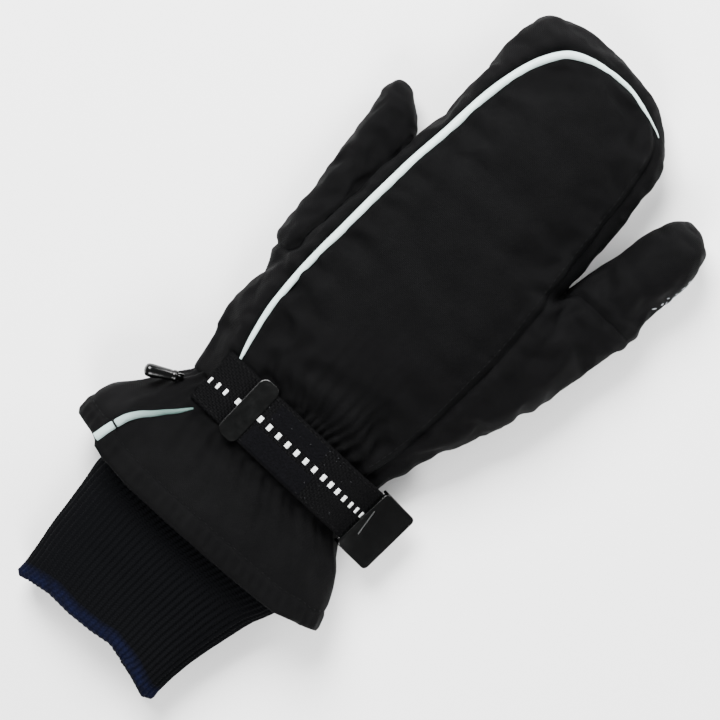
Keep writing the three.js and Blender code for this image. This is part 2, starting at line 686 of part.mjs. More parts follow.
// A slightly dished plate with round corners over two cheeks that hold the bar.
function buckle(bar) {
  const under = foldRadius + strapThickness / 2 + 2 * seamGap;
  const over = under + plateThickness;
  const { inner, outer } = buckleReach;
  const width = strapWidth + 2 * (seamGap + buckleWall);
  const { chamfer, lip, step } = plateEdge;
  const dish = places([-inner + plateCorner, outer - plateCorner], step).map((x) => {
    const share = (2 * x - (outer - inner)) / (outer + inner - 2 * plateCorner);
    return { x, z: over - plateDish * (1 - share * share) };
  });
  const plate = [
    { x: outer, z: under + chamfer },
    { x: outer, z: over - lip },
    ...dish.reverse(),
    { x: -inner, z: over - lip },
    { x: -inner, z: under },
    { x: outer - chamfer, z: under },
  ];
  const plan = new THREE.Shape();
  const halfWidth = width / 2;
  plan.moveTo(-inner + plateCorner, -halfWidth);
  plan.lineTo(outer - plateCorner, -halfWidth);
  plan.absarc(outer - plateCorner, -halfWidth + plateCorner, plateCorner, -halfTurn / 2, 0);
  plan.absarc(outer - plateCorner, halfWidth - plateCorner, plateCorner, 0, halfTurn / 2);
  plan.absarc(-inner + plateCorner, halfWidth - plateCorner, plateCorner, halfTurn / 2, halfTurn);
  plan.absarc(-inner + plateCorner, -halfWidth + plateCorner, plateCorner, halfTurn, 1.5 * halfTurn);
  const outline = new THREE.ExtrudeGeometry(plan, {
    depth: 2 * over,
    bevelEnabled: false,
    curveSegments: 4,
  });
  let body = solid(acrossHand(plate, width)).intersect(solid(outline));
  const cheek = [
    { x: -foldRadius, z: under + cheekOverlap },
    { x: -foldRadius, z: -foldRadius },
    { x: foldRadius, z: -foldRadius },
    { x: outer * cheekShare, z: under + cheekOverlap },
  ];
  for (const side of [-1, 1]) {
    const place = (side * (width - buckleWall)) / 2;
    body = body.add(solid(acrossHand(cheek, buckleWall).translate(0, place, 0)));
  }
  const rod = new THREE.CylinderGeometry(barRadius, barRadius, width - buckleWall, 12);
  body = body.add(solid(rod));
  const made = asMesh("strap_buckle", body, gloss);
  made.position.set(bar.x, 0, bar.z);
  made.rotation.y = buckleSlope;
  return made;
}

function strapAndBuckle() {
  const group = new THREE.Group();
  const { strap, bar } = strapAndBar();
  group.add(asMesh("wrist_strap", solid(strap), webbing), buckle(bar));
  group.position.y = strapLineY;
  group.rotation.z = strapTurn;
  return group;
}

// A small barrel on a short neck that comes out of the seam beside the strap.
function sideToggle() {
  const rim = toggleRim;
  const profile = [
    [0, 0],
    [toggleNeck.radius, 0],
    [toggleNeck.radius, toggleNeck.length],
    [toggleRadius - rim, toggleNeck.length],
    [toggleRadius, toggleNeck.length + rim],
    [toggleRadius, toggleNeck.length + 3 * rim],
    [toggleRadius - rim / 2, toggleNeck.length + 4 * rim],
    [toggleRadius - rim / 2, toggleNeck.length + toggleLength - 2 * rim],
    [toggleRadius - 2 * rim, toggleNeck.length + toggleLength],
    [0, toggleNeck.length + toggleLength],
  ].map(([radius, length]) => new THREE.Vector2(radius, length));
  const barrel = asMesh("side_toggle", solid(new THREE.LatheGeometry(profile, toggleSides)), gloss);
  const { along, angle } = togglePlace;
  const seat = gauntletPoint(along, angle, 0);
  const direction = new THREE.Vector3(
    Math.cos(toggleHeading) * Math.cos(toggleRise),
    Math.sin(toggleHeading) * Math.cos(toggleRise),
    Math.sin(toggleRise),
  );
  const outward = new THREE.Vector3(Math.cos(angle), 0, Math.sin(angle));
  barrel.quaternion.setFromUnitVectors(new THREE.Vector3(0, 1, 0), direction);
  barrel.position.copy(seat).addScaledVector(outward, toggleNeck.radius + 2 * seamGap);
  return barrel;
}

const mitt = new THREE.Group();
mitt.add(...handPieces(), gauntlet(), stormCuff(), handPiping(), cuffPiping());
mitt.add(strapAndBuckle(), sideToggle());

export default mitt;
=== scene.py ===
# %% [markdown]
# # A padded riding mitt for the right hand
# The mitt lies palm down. Three fingers share one compartment, and the thumb and the little finger
# have their own, so that a rein can pass between them. The measured model gives every size and
# place. This script dresses it: padded cloth with sunken seams, a gathered wrist under a strap, a
# flared gauntlet, a knitted inner cuff, pale reflective piping and two glossy mouldings.
# Everything is in metres, with X across the hand, Y towards the fingertips and Z up. The
# photograph looks straight down from EYE, and a place measured in it lies on a ray from there.

import math

import bmesh
import bpy
import numpy as np
from mathutils import Matrix, Vector, noise
from mathutils.bvhtree import BVHTree


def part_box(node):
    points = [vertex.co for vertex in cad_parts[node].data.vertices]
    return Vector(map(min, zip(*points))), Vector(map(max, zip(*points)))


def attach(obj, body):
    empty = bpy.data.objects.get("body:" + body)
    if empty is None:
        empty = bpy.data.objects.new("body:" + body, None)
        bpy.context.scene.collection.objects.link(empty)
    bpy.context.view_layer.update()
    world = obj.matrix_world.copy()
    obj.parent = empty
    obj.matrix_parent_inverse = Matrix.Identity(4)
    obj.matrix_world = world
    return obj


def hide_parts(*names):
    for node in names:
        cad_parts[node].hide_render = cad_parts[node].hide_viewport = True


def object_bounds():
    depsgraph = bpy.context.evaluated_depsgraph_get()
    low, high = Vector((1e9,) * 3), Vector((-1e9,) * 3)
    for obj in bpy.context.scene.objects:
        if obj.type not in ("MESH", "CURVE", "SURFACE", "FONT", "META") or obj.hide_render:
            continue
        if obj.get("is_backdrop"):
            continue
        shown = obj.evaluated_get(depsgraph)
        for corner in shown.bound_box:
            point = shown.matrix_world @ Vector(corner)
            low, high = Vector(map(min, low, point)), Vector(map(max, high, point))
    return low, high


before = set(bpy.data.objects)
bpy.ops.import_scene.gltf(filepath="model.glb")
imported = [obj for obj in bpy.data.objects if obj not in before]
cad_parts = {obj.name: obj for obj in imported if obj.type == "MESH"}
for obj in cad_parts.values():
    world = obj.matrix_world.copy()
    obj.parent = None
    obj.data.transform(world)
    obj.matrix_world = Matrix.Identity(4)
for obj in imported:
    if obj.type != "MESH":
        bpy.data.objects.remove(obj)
cad_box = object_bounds()
MM = 0.001
SENSOR, LENS = 36.0, 150.0
PICTURE_WIDTH = 295.2 * MM  # of what the photograph shows at the mitt's height
PICTURE_MIDDLE = np.array([-1.7, -15.7]) * MM
MITT_HEIGHT = 15 * MM
VIEW_DISTANCE = PICTURE_WIDTH * LENS / SENSOR
EYE = Vector((*PICTURE_MIDDLE, MITT_HEIGHT + VIEW_DISTANCE))
print("measured size in mm:", [round(v / MM, 1) for v in cad_box[1] - cad_box[0]])

# %% [markdown]
# ## Helpers for pieces
# Each finished piece is one object at the origin, with its place in its mesh. It rides on the one
# body of the measured model and takes its finish as its one material. A copy of a measured piece
# is merged first, because it arrives as loose triangles.


# %% Helpers for pieces
def mesh_of(bm, name):
    mesh = bpy.data.meshes.new(name)
    bm.to_mesh(mesh)
    bm.free()
    return mesh


def opened(mesh):
    bm = bmesh.new()
    bm.from_mesh(mesh)
    return bm


def placed(name, data):
    obj = bpy.data.objects.new(name, data)
    bpy.context.scene.collection.objects.link(obj)
    return obj


def add_piece(name, bm, material, replaces=(), smooth=True, at=None):
    if at is not None:
        bmesh.ops.transform(bm, matrix=at, verts=bm.verts)
    mesh = mesh_of(bm, name)
    mesh.materials.append(material)
    if smooth:
        mesh.shade_smooth()
    piece = placed(name, mesh)
    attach(piece, "root")
    if replaces:
        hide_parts(*replaces)
    print(f"{name}: {len(mesh.polygons)} faces")
    return piece


def give_wall(piece, thickness):
    wall = piece.modifiers.new("wall", "SOLIDIFY")
    wall.thickness = thickness
    wall.offset = -1


def merged_copy(*nodes):
    bm = bmesh.new()
    for node in nodes:
        bm.from_mesh(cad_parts[node].data)
    bmesh.ops.remove_doubles(bm, verts=bm.verts, dist=0.01 * MM)
    bm.normal_update()
    return bm


def tree_of(*nodes):
    bm = merged_copy(*nodes)
    tree = BVHTree.FromBMesh(bm)
    bm.free()
    return tree


def surface_tree(places, mesh):
    return BVHTree.FromPolygons(places.tolist(), [list(face.vertices) for face in mesh.polygons])


def values_of(data, key, width=3):
    """A value or vector of every element of a mesh, as an array."""
    values = np.empty(len(data) * width)
    data.foreach_get(key, values)
    return values.reshape(-1, width)


def corners(mesh):
    return values_of(mesh.vertices, "co")


def place_corners(mesh, places):
    mesh.vertices.foreach_set("co", places.ravel())
    mesh.update()


def finished(obj):
    """The mesh of an object with its modifiers worked in, and the object removed."""
    graph = bpy.context.evaluated_depsgraph_get()
    mesh = bpy.data.meshes.new_from_object(obj.evaluated_get(graph), depsgraph=graph)
    bpy.data.objects.remove(obj)
    return mesh


# %% [markdown]
# ## Helpers for lines and places
# Lines and surfaces are arrays of places. A few short functions measure how far a line has run,
# find the place at such a run, and give soft noise, soft bells and soft rises.


# %% Helpers for lines and places
def waves(places, size, seed=0.0):
    """Soft noise from -1 to 1 at every place, with lumps of about that size in mm."""
    shift = Vector((seed, 2 * seed, -seed))
    scaled = (places * (1 / (np.array(size) * MM))).reshape(-1, 3)
    return np.array([noise.noise(Vector(p) + shift) for p in scaled]).reshape(places.shape[:-1])


def bell(distance, width):
    return np.exp(-((distance / width) ** 2))


def eased(value):
    """0 up to 0, 1 from 1 on, and a soft rise between them."""
    value = np.clip(value, 0, 1)
    return value**2 * (3 - 2 * value)


def unit(vectors):
    return vectors / np.maximum(np.linalg.norm(vectors, axis=-1, keepdims=True), 1e-12)


def run_along(points):
    """How far along a line each of its points is, also for an array of lines."""
    steps = np.linalg.norm(np.diff(points, axis=-2), axis=-1)
    return np.concatenate([np.zeros_like(steps[..., :1]), steps.cumsum(axis=-1)], axis=-1)


def at_run(at, run, line):
    """The place on a line at one run along it, or at many."""
    return np.stack([np.interp(at, run, line[:, k]) for k in range(line.shape[1])], axis=-1)


def moved_by(matrix, places):
    matrix = np.array(matrix)
    return places @ matrix[:3, :3].T + matrix[:3, 3]


def laid(place, along, out_way):
    """A frame at a place on a surface, with Z out of it and X as near to along as it can be."""
    across = out_way.cross(along).normalized()
    along = across.cross(out_way).normalized()
    return Matrix.Translation(place) @ Matrix((along, across, out_way)).transposed().to_4x4()


# %% [markdown]
# ## Finishes
# Nearly everything here is black, so the finishes differ by their surface and not by their colour:
# a dull woven softshell, grained synthetic leather, ribbed knit, webbing and glossy mouldings.
# Each is one shader whose fine relief is a bump. Cloth patterns follow the piece's own UV map,
# whose unit is a metre of cloth, so that threads keep their size wherever the cloth turns.


# %% Shader helpers
def node(tree, kind, inputs, **settings):
    """A node with its settings; each input is a plain value or another node's output."""
    made = tree.nodes.new(kind)
    for key, value in settings.items():
        setattr(made, key, value)
    for key, value in inputs.items():
        if isinstance(value, bpy.types.NodeSocket):
            tree.links.new(value, made.inputs[key])
        elif value is not None:
            made.inputs[key].default_value = value
    return made


def math_node(tree, operation, first, second=None):
    return node(tree, "ShaderNodeMath", {0: first, 1: second}, operation=operation).outputs[0]


def texture(tree, kind, size, output, inputs, **settings):
    """A texture over the piece's place, with cells of a size in mm."""
    place = node(tree, "ShaderNodeTexCoord", {}).outputs["Object"]
    inputs = {"Scale": 1 / (size * MM), "Vector": place, **inputs}
    return node(tree, kind, inputs, **settings).outputs[output]


def noise_of(tree, size, detail):
    return texture(tree, "ShaderNodeTexNoise", size, "Fac", {"Detail": detail})


def beads(tree, size, feature="F1"):
    return texture(tree, "ShaderNodeTexVoronoi", size, "Distance", {}, feature=feature)


def place_parts(tree, source):
    """X, Y and Z of a coordinate. Those of the UV map are in metres of cloth."""
    vector = node(tree, "ShaderNodeTexCoord", {}).outputs[source]
    return node(tree, "ShaderNodeSeparateXYZ", {0: vector}).outputs


def spread(tree, value, low, high, start=0, end=1):
    """A value from start to end as one from low to high."""
    inputs = {"Value": value, "From Min": start, "From Max": end, "To Min": low, "To Max": high}
    return node(tree, "ShaderNodeMapRange", inputs).outputs["Result"]


def plain_weave(tree, *pitches):
    """Height of a plain weave: the two threads take turns on top."""
    thread = [
        math_node(tree, "SINE", math_node(tree, "MULTIPLY", part, math.pi / (pitch * MM)))
        for part, pitch in zip(place_parts(tree, "UV"), pitches)
    ]
    on_top = math_node(tree, "GREATER_THAN", math_node(tree, "MULTIPLY", *thread), 0.0)
    round_u, round_v = [math_node(tree, "ABSOLUTE", wave) for wave in thread]
    inputs = {0: on_top, 2: round_u, 3: round_v}
    return node(tree, "ShaderNodeMix", inputs, data_type="FLOAT").outputs[0]


def finish_of(name, color, roughness, bumps=(), tinted=None, worn=None, **constants):
    """A shader. Each bump is a pattern, its sizes and its depth in mm. What is tinted is a
    pattern, its sizes and two colours, and worn is a noise and two roughnesses."""
    material = bpy.data.materials.new(name)
    material.use_nodes = True
    tree = material.node_tree
    shader = tree.nodes["Principled BSDF"]
    shader.inputs["Base Color"].default_value = (*color, 1)
    shader.inputs["Roughness"].default_value = roughness
    for socket, value in constants.items():
        shader.inputs[socket.replace("_", " ")].default_value = value
    last = None
    for pattern, *sizes, depth in bumps:
        height = pattern(tree, *sizes)
        inputs = {"Strength": 1, "Distance": depth * MM, "Height": height, "Normal": last}
        last = node(tree, "ShaderNodeBump", inputs).outputs["Normal"]
    if last:
        tree.links.new(last, shader.inputs["Normal"])
    if tinted:
        pattern, *sizes, dark, light = tinted
        ramp = node(tree, "ShaderNodeValToRGB", {"Fac": pattern(tree, *sizes)})
        for element, shade in zip(ramp.color_ramp.elements, (dark, light)):
            element.color = (*shade, 1)
        tree.links.new(ramp.outputs["Color"], shader.inputs["Base Color"])
    if worn:
        size, detail, low, high = worn
        rough = spread(tree, noise_of(tree, size, detail), low, high)
        tree.links.new(rough, shader.inputs["Roughness"])
    return material


# %% [markdown]
# ### Softshell, leather and knit
# Softshell is a tight dull weave with hardly any shine. The palm is a thin synthetic leather:
# small rounded cells with creases between them. The knit has a rib of chevron stitches, and the
# navy of its core yarn shows in patches along the hem.

# %% Softshell, leather and knit
RIB_PITCH = 2.6 * MM
STITCH_PITCH = 1.3 * MM
KNIT_HEM = 113 * MM  # place of the hem on the cuff's map


def leather_cells(tree, size):
    return spread(tree, beads(tree, size, "DISTANCE_TO_EDGE"), 0, 3)


def chevrons(tree):
    u, v = place_parts(tree, "UV")[:2]
    across = math_node(tree, "FRACT", math_node(tree, "MULTIPLY", u, 1 / RIB_PITCH))
    lean = math_node(tree, "ABSOLUTE", math_node(tree, "SUBTRACT", across, 0.5))
    rise = math_node(tree, "ADD", math_node(tree, "MULTIPLY", v, 1 / STITCH_PITCH), lean)
    wave = math_node(tree, "SINE", math_node(tree, "MULTIPLY", rise, math.pi))
    return math_node(tree, "ABSOLUTE", wave)


def hem_patches(tree):
    past_hem = math_node(tree, "SUBTRACT", place_parts(tree, "UV")[1], KNIT_HEM)
    near = spread(tree, math_node(tree, "ABSOLUTE", past_hem), 1, 0, 1.5 * MM, 4.5 * MM)
    return math_node(tree, "MULTIPLY", near, noise_of(tree, 3, 3))


softshell = finish_of(
    "softshell", (0.0014, 0.0014, 0.0016), 0.72,
    bumps=[(noise_of, 5.5, 4, 0.5), (plain_weave, 0.62, 0.62, 0.1), (noise_of, 0.5, 2, 0.06)],
    tinted=(noise_of, 22, 4, (0.0004, 0.0004, 0.0005), (0.0014, 0.0014, 0.0016)),
    worn=(9, 5, 0.62, 0.86), Specular_IOR_Level=0.05,
)
leather = finish_of(
    "palm_grip", (0.0016, 0.0016, 0.0018), 0.5,
    bumps=[(noise_of, 7, 3, 0.5), (leather_cells, 1.3, 0.12), (noise_of, 0.35, 2, 0.04)],
    worn=(12, 4, 0.45, 0.7), Specular_IOR_Level=0.1,
)
knit = finish_of(
    "cuff_knit", (0.0012, 0.0013, 0.0018), 0.9,
    bumps=[(chevrons, 0.16), (noise_of, 0.4, 3, 0.1)],
    tinted=(hem_patches, (0.001, 0.0011, 0.0015), (0.0022, 0.0032, 0.015)),
    Specular_IOR_Level=0.05,
)
print("cloth finishes:", softshell.name, leather.name, knit.name)

# %% [markdown]
# ### Piping, webbing, thread and mouldings
# The piping is a retroreflective fabric: a pale silver-green skin of tiny glass beads. The short
# one has painted shade: its colour is painted darker along its way, towards the wrist, where it
# turns away from the light. The webbing is a coarser weave than the shell, with pale woven ticks.
# The buckle and the toggle are moulded with a polish that is broken only by faint wear, which a
# second, finer noise gives.


# %% Piping, webbing, thread and mouldings
# Painted shade: the short piping's colour darkens from its hem end towards the wrist seam.
def painted_shade_ramp(tree):
    return spread(tree, place_parts(tree, "Object")[1], 0, 1, -104 * MM, -84 * MM)


piping_cloth = finish_of(
    "piping", (0.66, 0.78, 0.75), 0.42,
    bumps=[(noise_of, 2.5, 3, 0.12), (beads, 0.45, 0.05)],
    tinted=(noise_of, 5, 4, (0.42, 0.54, 0.52), (0.56, 0.67, 0.65)), Specular_IOR_Level=0.6,
)
# The short piping's finish, with painted shade that darkens it towards the wrist.
painted_shade_piping = finish_of(
    "piping_painted_shade", (0.5, 0.6, 0.58), 0.45,
    bumps=[(noise_of, 2.5, 3, 0.12), (plain_weave, 0.8, 0.8, 0.1)],
    tinted=(painted_shade_ramp, (0.42, 0.55, 0.53), (0.07, 0.13, 0.115)),
)
webbing = finish_of(
    "webbing", (0.0007, 0.0007, 0.0009), 0.7,
    bumps=[(plain_weave, 0.9, 1.25, 0.26), (noise_of, 0.3, 2, 0.05)],
    worn=(4, 4, 0.6, 0.82), Specular_IOR_Level=0.045,
)
nap = finish_of(
    "loop_nap", (0.0012, 0.0012, 0.0016), 0.95, bumps=[(noise_of, 0.7, 4, 0.4)],
    tinted=(noise_of, 1.1, 3, (0.0004, 0.0004, 0.0006), (0.002, 0.002, 0.0027)),
    Specular_IOR_Level=0.05,
)
fluff_finish = finish_of("fluff", (0.02, 0.021, 0.024), 0.8)
tick_thread = finish_of(
    "tick_thread", (0.72, 0.74, 0.73), 0.6, [(plain_weave, 0.45, 0.7, 0.12)], Sheen_Weight=0.1
)
dark_thread = finish_of(
    "dark_thread", (0.001, 0.001, 0.0012), 0.6, [(noise_of, 0.3, 2, 0.06)],
    Specular_IOR_Level=0.08,
)
polished = finish_of("polished_edge", (0.012, 0.013, 0.013), 0.38, Specular_IOR_Level=1.0)
moulded = finish_of(
    "moulded_black", (0.0006, 0.0007, 0.0007), 0.2,
    bumps=[(noise_of, 2.2, 3, 0.05), (noise_of, 0.25, 1, 0.008)],
    worn=(3, 5, 0.12, 0.3), Specular_IOR_Level=0.26,
)
grip_silver = finish_of(
    "grip_print", (0.36, 0.38, 0.4), 0.38,
    tinted=(noise_of, 1.2, 3, (0.16, 0.17, 0.19), (0.5, 0.52, 0.55)), Metallic=0.4,
)
print("trim finishes ready")

# %% [markdown]
# ## The hand's skin
# The padded hand is one soft form that seams divide. Five separate shells would each puff up on
# their own and leave cracks, so the measured pieces are grown until they touch, remeshed as one
# body, and cut open at the wrist. Only the outer skin is kept. Smoothing in pairs of steps, one in
# and one a little further out, takes the facets away and keeps the size.

# %% The hand's skin
HAND_NODES = ["back_panel", "hand_shell", "palm_panel", "little_finger", "thumb"]
VOXEL = 2.1 * MM
WRIST_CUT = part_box("hand_shell")[0].y + 0.6 * MM
CLOSE_GAPS = 0.25 * MM
STEP_IN, STEP_OUT = 0.5, -0.52
FACET_ROUNDS, FILLED_ROUNDS = 22, 2  # of smoothing, before and after the padding

bm = merged_copy(*HAND_NODES)
for corner in bm.verts:
    corner.co += corner.normal * CLOSE_GAPS
helper = placed("helper", mesh_of(bm, "skin"))
remesh = helper.modifiers.new("one_body", "REMESH")
remesh.mode = "VOXEL"
remesh.voxel_size = VOXEL
body_mesh = finished(helper)

bm = opened(body_mesh)
bmesh.ops.bisect_plane(
    bm,
    geom=bm.verts[:] + bm.edges[:] + bm.faces[:],
    plane_co=(0, WRIST_CUT, 0),
    plane_no=(0, 1, 0),
    clear_inner=True,
)
reached = {max(bm.verts, key=lambda corner: corner.co.y)}
edge_of_reach = list(reached)
while edge_of_reach:
    corner = edge_of_reach.pop()
    for edge in corner.link_edges:
        other = edge.other_vert(corner)
        if other not in reached:
            reached.add(other)
            edge_of_reach.append(other)
bmesh.ops.delete(bm, geom=[c for c in bm.verts if c not in reached], context="VERTS")


def smooth_in_place(bm, rounds):
    inside = [corner for corner in bm.verts if not corner.is_boundary]
    for _ in range(rounds):
        for step in (STEP_IN, STEP_OUT):
            bmesh.ops.smooth_vert(
                bm, verts=inside, factor=step, use_axis_x=True, use_axis_y=True, use_axis_z=True
            )


smooth_in_place(bm, FACET_ROUNDS)
skin = mesh_of(bm, "skin")
print("skin:", len(skin.vertices), "corners")

# %% [markdown]
# ## Where the seams run
# A seam is where the skin is as near to one measured piece as to the next. The difference of the
# two distances is a field that is zero on the seam and grows by a millimetre for each millimetre
# away from it. The skin keeps these fields, and they later place the valleys, the puckers and the
# cuts. The fingers also have a side seam, at the height of the palm's own.

# %% Where the seams run
PALM_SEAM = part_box("palm_panel")[1].z + 0.15 * MM
flat_places = corners(skin)
distance = {}
for name in HAND_NODES:
    tree = tree_of(name)
    distance[name] = np.array([tree.find_nearest(p)[3] for p in flat_places])


def seam_field(name, others):
    return distance[name] - np.min([distance[other] for other in others], axis=0)


fields = {
    "little": seam_field("little_finger", ["back_panel", "hand_shell", "palm_panel", "thumb"]),
    "thumb": seam_field("thumb", ["back_panel", "hand_shell", "palm_panel"]),
    "palm": seam_field("palm_panel", ["back_panel", "hand_shell"]),
    "back": seam_field("back_panel", ["hand_shell"]),
    "side": flat_places[:, 2] - PALM_SEAM,
}
pairs = np.array([edge.vertices for edge in skin.edges])


def averaged(values, rounds):
    """Values at the corners, evened out with their neighbours."""
    shape = (len(skin.vertices),) + values.shape[1:]
    for _ in range(rounds):
        total = values.copy()
        count = np.ones(len(values))
        for a, b in ((0, 1), (1, 0)):
            np.add.at(total, pairs[:, a], values[pairs[:, b]])
            np.add.at(count, pairs[:, a], 1)
        values = (total.T / count).T.reshape(shape)
    return values


for name, values in fields.items():
    fields[name] = averaged(values, 3)
    layer = skin.attributes.new("cut_" + name, "FLOAT", "POINT")
    layer.data.foreach_set("value", fields[name])


def seam_distances(fields):
    """How far each corner is from the nearest upper seam, and from the palm's seam."""
    on_finger = (fields["little"] < 0) | (fields["thumb"] < 0)
    upper = np.minimum(np.abs(fields["little"]), np.abs(fields["thumb"]))
    over = ~on_finger & (fields["palm"] > 0)
    upper = np.where(over, np.minimum(upper, np.abs(fields["back"])), upper)
    return upper, np.where(on_finger, np.abs(fields["side"]), np.abs(fields["palm"]))


coarse_apart = np.minimum(*seam_distances(fields))
print("on the seams:", int((coarse_apart < VOXEL).sum()), "corners")

# %% [markdown]
# ## Padding
# The wadding pushes the cloth out between its seams, and a sewn seam holds it in. Cloth simulation
# does just that: the corners on the seams and at the wrist are pinned, the cloth is a few per cent
# too large, and a light pressure fills it. The movement is capped, and a few soft pushes in plan
# set the outline back to the measured one. The side that lies on the table is flattened later.

# %% Padding
MOST_PUFF = 3.0 * MM
FRAMES = 20
WADDED = {
    "quality": 5, "mass": 0.15, "tension_stiffness": 12, "compression_stiffness": 12,
    "shear_stiffness": 6, "bending_stiffness": 1.2, "use_pressure": True,
    "uniform_pressure_force": 4.0, "shrink_min": -0.05, "vertex_group_mass": "held",
}


def puffed(mesh, held):
    """Where the corners go when the mesh is filled, with those in held kept in place."""
    helper = placed("helper", mesh.copy())
    group = helper.vertex_groups.new(name="held")
    for index, weight in enumerate(held):
        if weight > 0.01:
            group.add([index], float(weight), "REPLACE")
    cloth = helper.modifiers.new("cloth", "CLOTH")
    for key, value in WADDED.items():
        setattr(cloth.settings, key, value)
    cloth.settings.effector_weights.gravity = 0
    cloth.collision_settings.use_self_collision = False
    scene = bpy.context.scene
    for step in range(1, FRAMES + 1):
        scene.frame_set(step)
    moved = corners(finished(helper))
    scene.frame_set(1)
    return moved


def pushed(places, pushes):
    """The corners after soft pushes in plan: x, y, the push in x and in y, and its reach."""
    moved = places.copy()
    for x, y, push_x, push_y, reach in np.array(pushes) * MM:
        share = bell(np.hypot(places[..., 0] - x, places[..., 1] - y), reach)
        moved[..., :2] += share[..., None] * np.array([push_x, push_y])
    return moved


SKIN_PUSHES = [  # in mm, where the filled skin leaves the outline that was measured
    (30, 137, -1.3, -0.9, 10), (12, 146, -0.1, -0.7, 12), (-8, 148, 0, -0.5, 12),
    (41, 90, -0.9, 0.3, 7), (50, 88, 0.8, -0.3, 7), (40, 71, -0.7, 0, 5), (47, 71, 0.7, 0, 5),
    (70, 114, 0, -0.9, 8), (79, 87, 0.9, 0, 10), (77, 62, 1.0, -0.3, 8),
    (62, 7, 1.0, -1.0, 10), (-64, 41, -0.6, 0, 10), (-52, -56, 1.1, 0, 12), (-56, -38, 0.7, 0.2, 9),
]
HOLD = {"wrist": 26 * MM, "seam": 3 * MM}  # how far the wrist's and the seams' hold reaches
TIP = {"from": 108 * MM, "over": 34 * MM, "ahead": 1.1 * MM}
padded_places = flat_places.copy()
wrist_hold = np.clip(1 - (flat_places[:, 1] - WRIST_CUT) / HOLD["wrist"], 0, 1)
seam_hold = np.clip(1.25 - coarse_apart / HOLD["seam"], 0, 1)
moved = puffed(skin, np.maximum(wrist_hold, seam_hold)) - flat_places
length = np.linalg.norm(moved, axis=1)
cap = MOST_PUFF * np.tanh(length / MOST_PUFF) / np.maximum(length, 1e-9)
padded_places += moved * cap[:, None]
print("puff in mm: mean", round(float(length.mean() / MM), 2))
print("puff in mm: most", round(float(length.max() / MM), 2))
padded_places[:, 1] += TIP["ahead"] * eased((padded_places[:, 1] - TIP["from"]) / TIP["over"])
place_corners(skin, pushed(padded_places, SKIN_PUSHES))
bm = opened(skin)
smooth_in_place(bm, FILLED_ROUNDS)
bm.to_mesh(skin)
bm.free()
smooth_tree = surface_tree(corners(skin), skin)

# %% [markdown]
# ## The strap's own place
# The strap crosses the wrist a little askew. Its height comes from the measured strap, felt from
# above along its middle line: first the sewn layer, and beyond the tongue the layer folded back
# over it. The cloth under the strap is drawn in below that line, and swells on both sides of it.

# %% The strap's own place
STRAP_TURN = math.radians(-2.6)
STRAP_LINE = -61.5 * MM
STRAP_WIDTH = 25.2 * MM
STRAP_THICK = 1.6 * MM
LAYER_GAP = 0.3 * MM
STRAP_LEFT = -43.5 * MM
TONGUE_END = -27.9 * MM
LINE_SMOOTH = 7  # steps of half a millimetre on both sides
strap_place = Matrix.Translation((0, STRAP_LINE, 0)) @ Matrix.Rotation(STRAP_TURN, 4, "Z")
strap_tree = tree_of("wrist_strap")


def felt_under(x):
    """Height of the sewn layer's lower face, from the top that a ray finds."""
    top = strap_tree.ray_cast(strap_place @ Vector((x, 0, 0.1)), Vector((0, 0, -1)))[0].z
    return top - (STRAP_THICK + LAYER_GAP) * (x > TONGUE_END) - STRAP_THICK


line_x = np.arange(STRAP_LEFT + 0.2 * MM, 40 * MM, 0.5 * MM)
line_z = np.pad([felt_under(x) for x in line_x], LINE_SMOOTH, mode="edge")
kernel = np.hanning(2 * LINE_SMOOTH + 1)
line_z = np.convolve(line_z, kernel / kernel.sum(), mode="valid")


def under_strap(x):
    """Height of the sewn layer's lower face."""
    return np.interp(x, line_x, line_z)


SWELL = {"height": 5.5 * MM, "reach": 6 * MM, "slope": 0.9, "slope_from": 7 * MM}


def strap_limit(local):
    """The height that cloth keeps under and beside the strap, and how far it is beside it."""
    beyond = np.clip(np.abs(local[..., 1]) - STRAP_WIDTH / 2, 0, None)
    swell = SWELL["height"] * (1 - np.exp(-beyond / SWELL["reach"]))
    swell += SWELL["slope"] * np.clip(beyond - SWELL["slope_from"], 0, None)
    return under_strap(local[..., 0]) - 0.3 * MM + swell, beyond


print("strap's lowest and highest in mm:", round(line_z.min() / MM, 1), round(line_z.max() / MM, 1))

# %% [markdown]
# ## Folds, valleys and puckers
# After one subdivision the skin is fine enough for the small relief. Each seam sinks into a narrow
# valley and the padding rolls up beside it, with puckers where the stitches pull. A short table of
# creases, each a line in plan with a depth and a width, gives the folds that this mitt takes where
# the thumb leaves the hand, in the crotch of the little finger and above the strap. Broad soft
# lumps of noise keep the panels from looking moulded. The crotch of the little finger runs to a
# fine slit, which a narrow push along its line opens before the folds are laid.

# %% Folds, valleys and puckers
helper = placed("helper", skin)
finer = helper.modifiers.new("finer", "SUBSURF")
finer.levels = finer.render_levels = 1
skin = finished(helper)
places = corners(skin)
fields = {name: values_of(skin.attributes["cut_" + name].data, "value", 1)[:, 0] for name in fields}
upper_apart, under_apart = seam_distances(fields)
apart = np.minimum(upper_apart, under_apart)

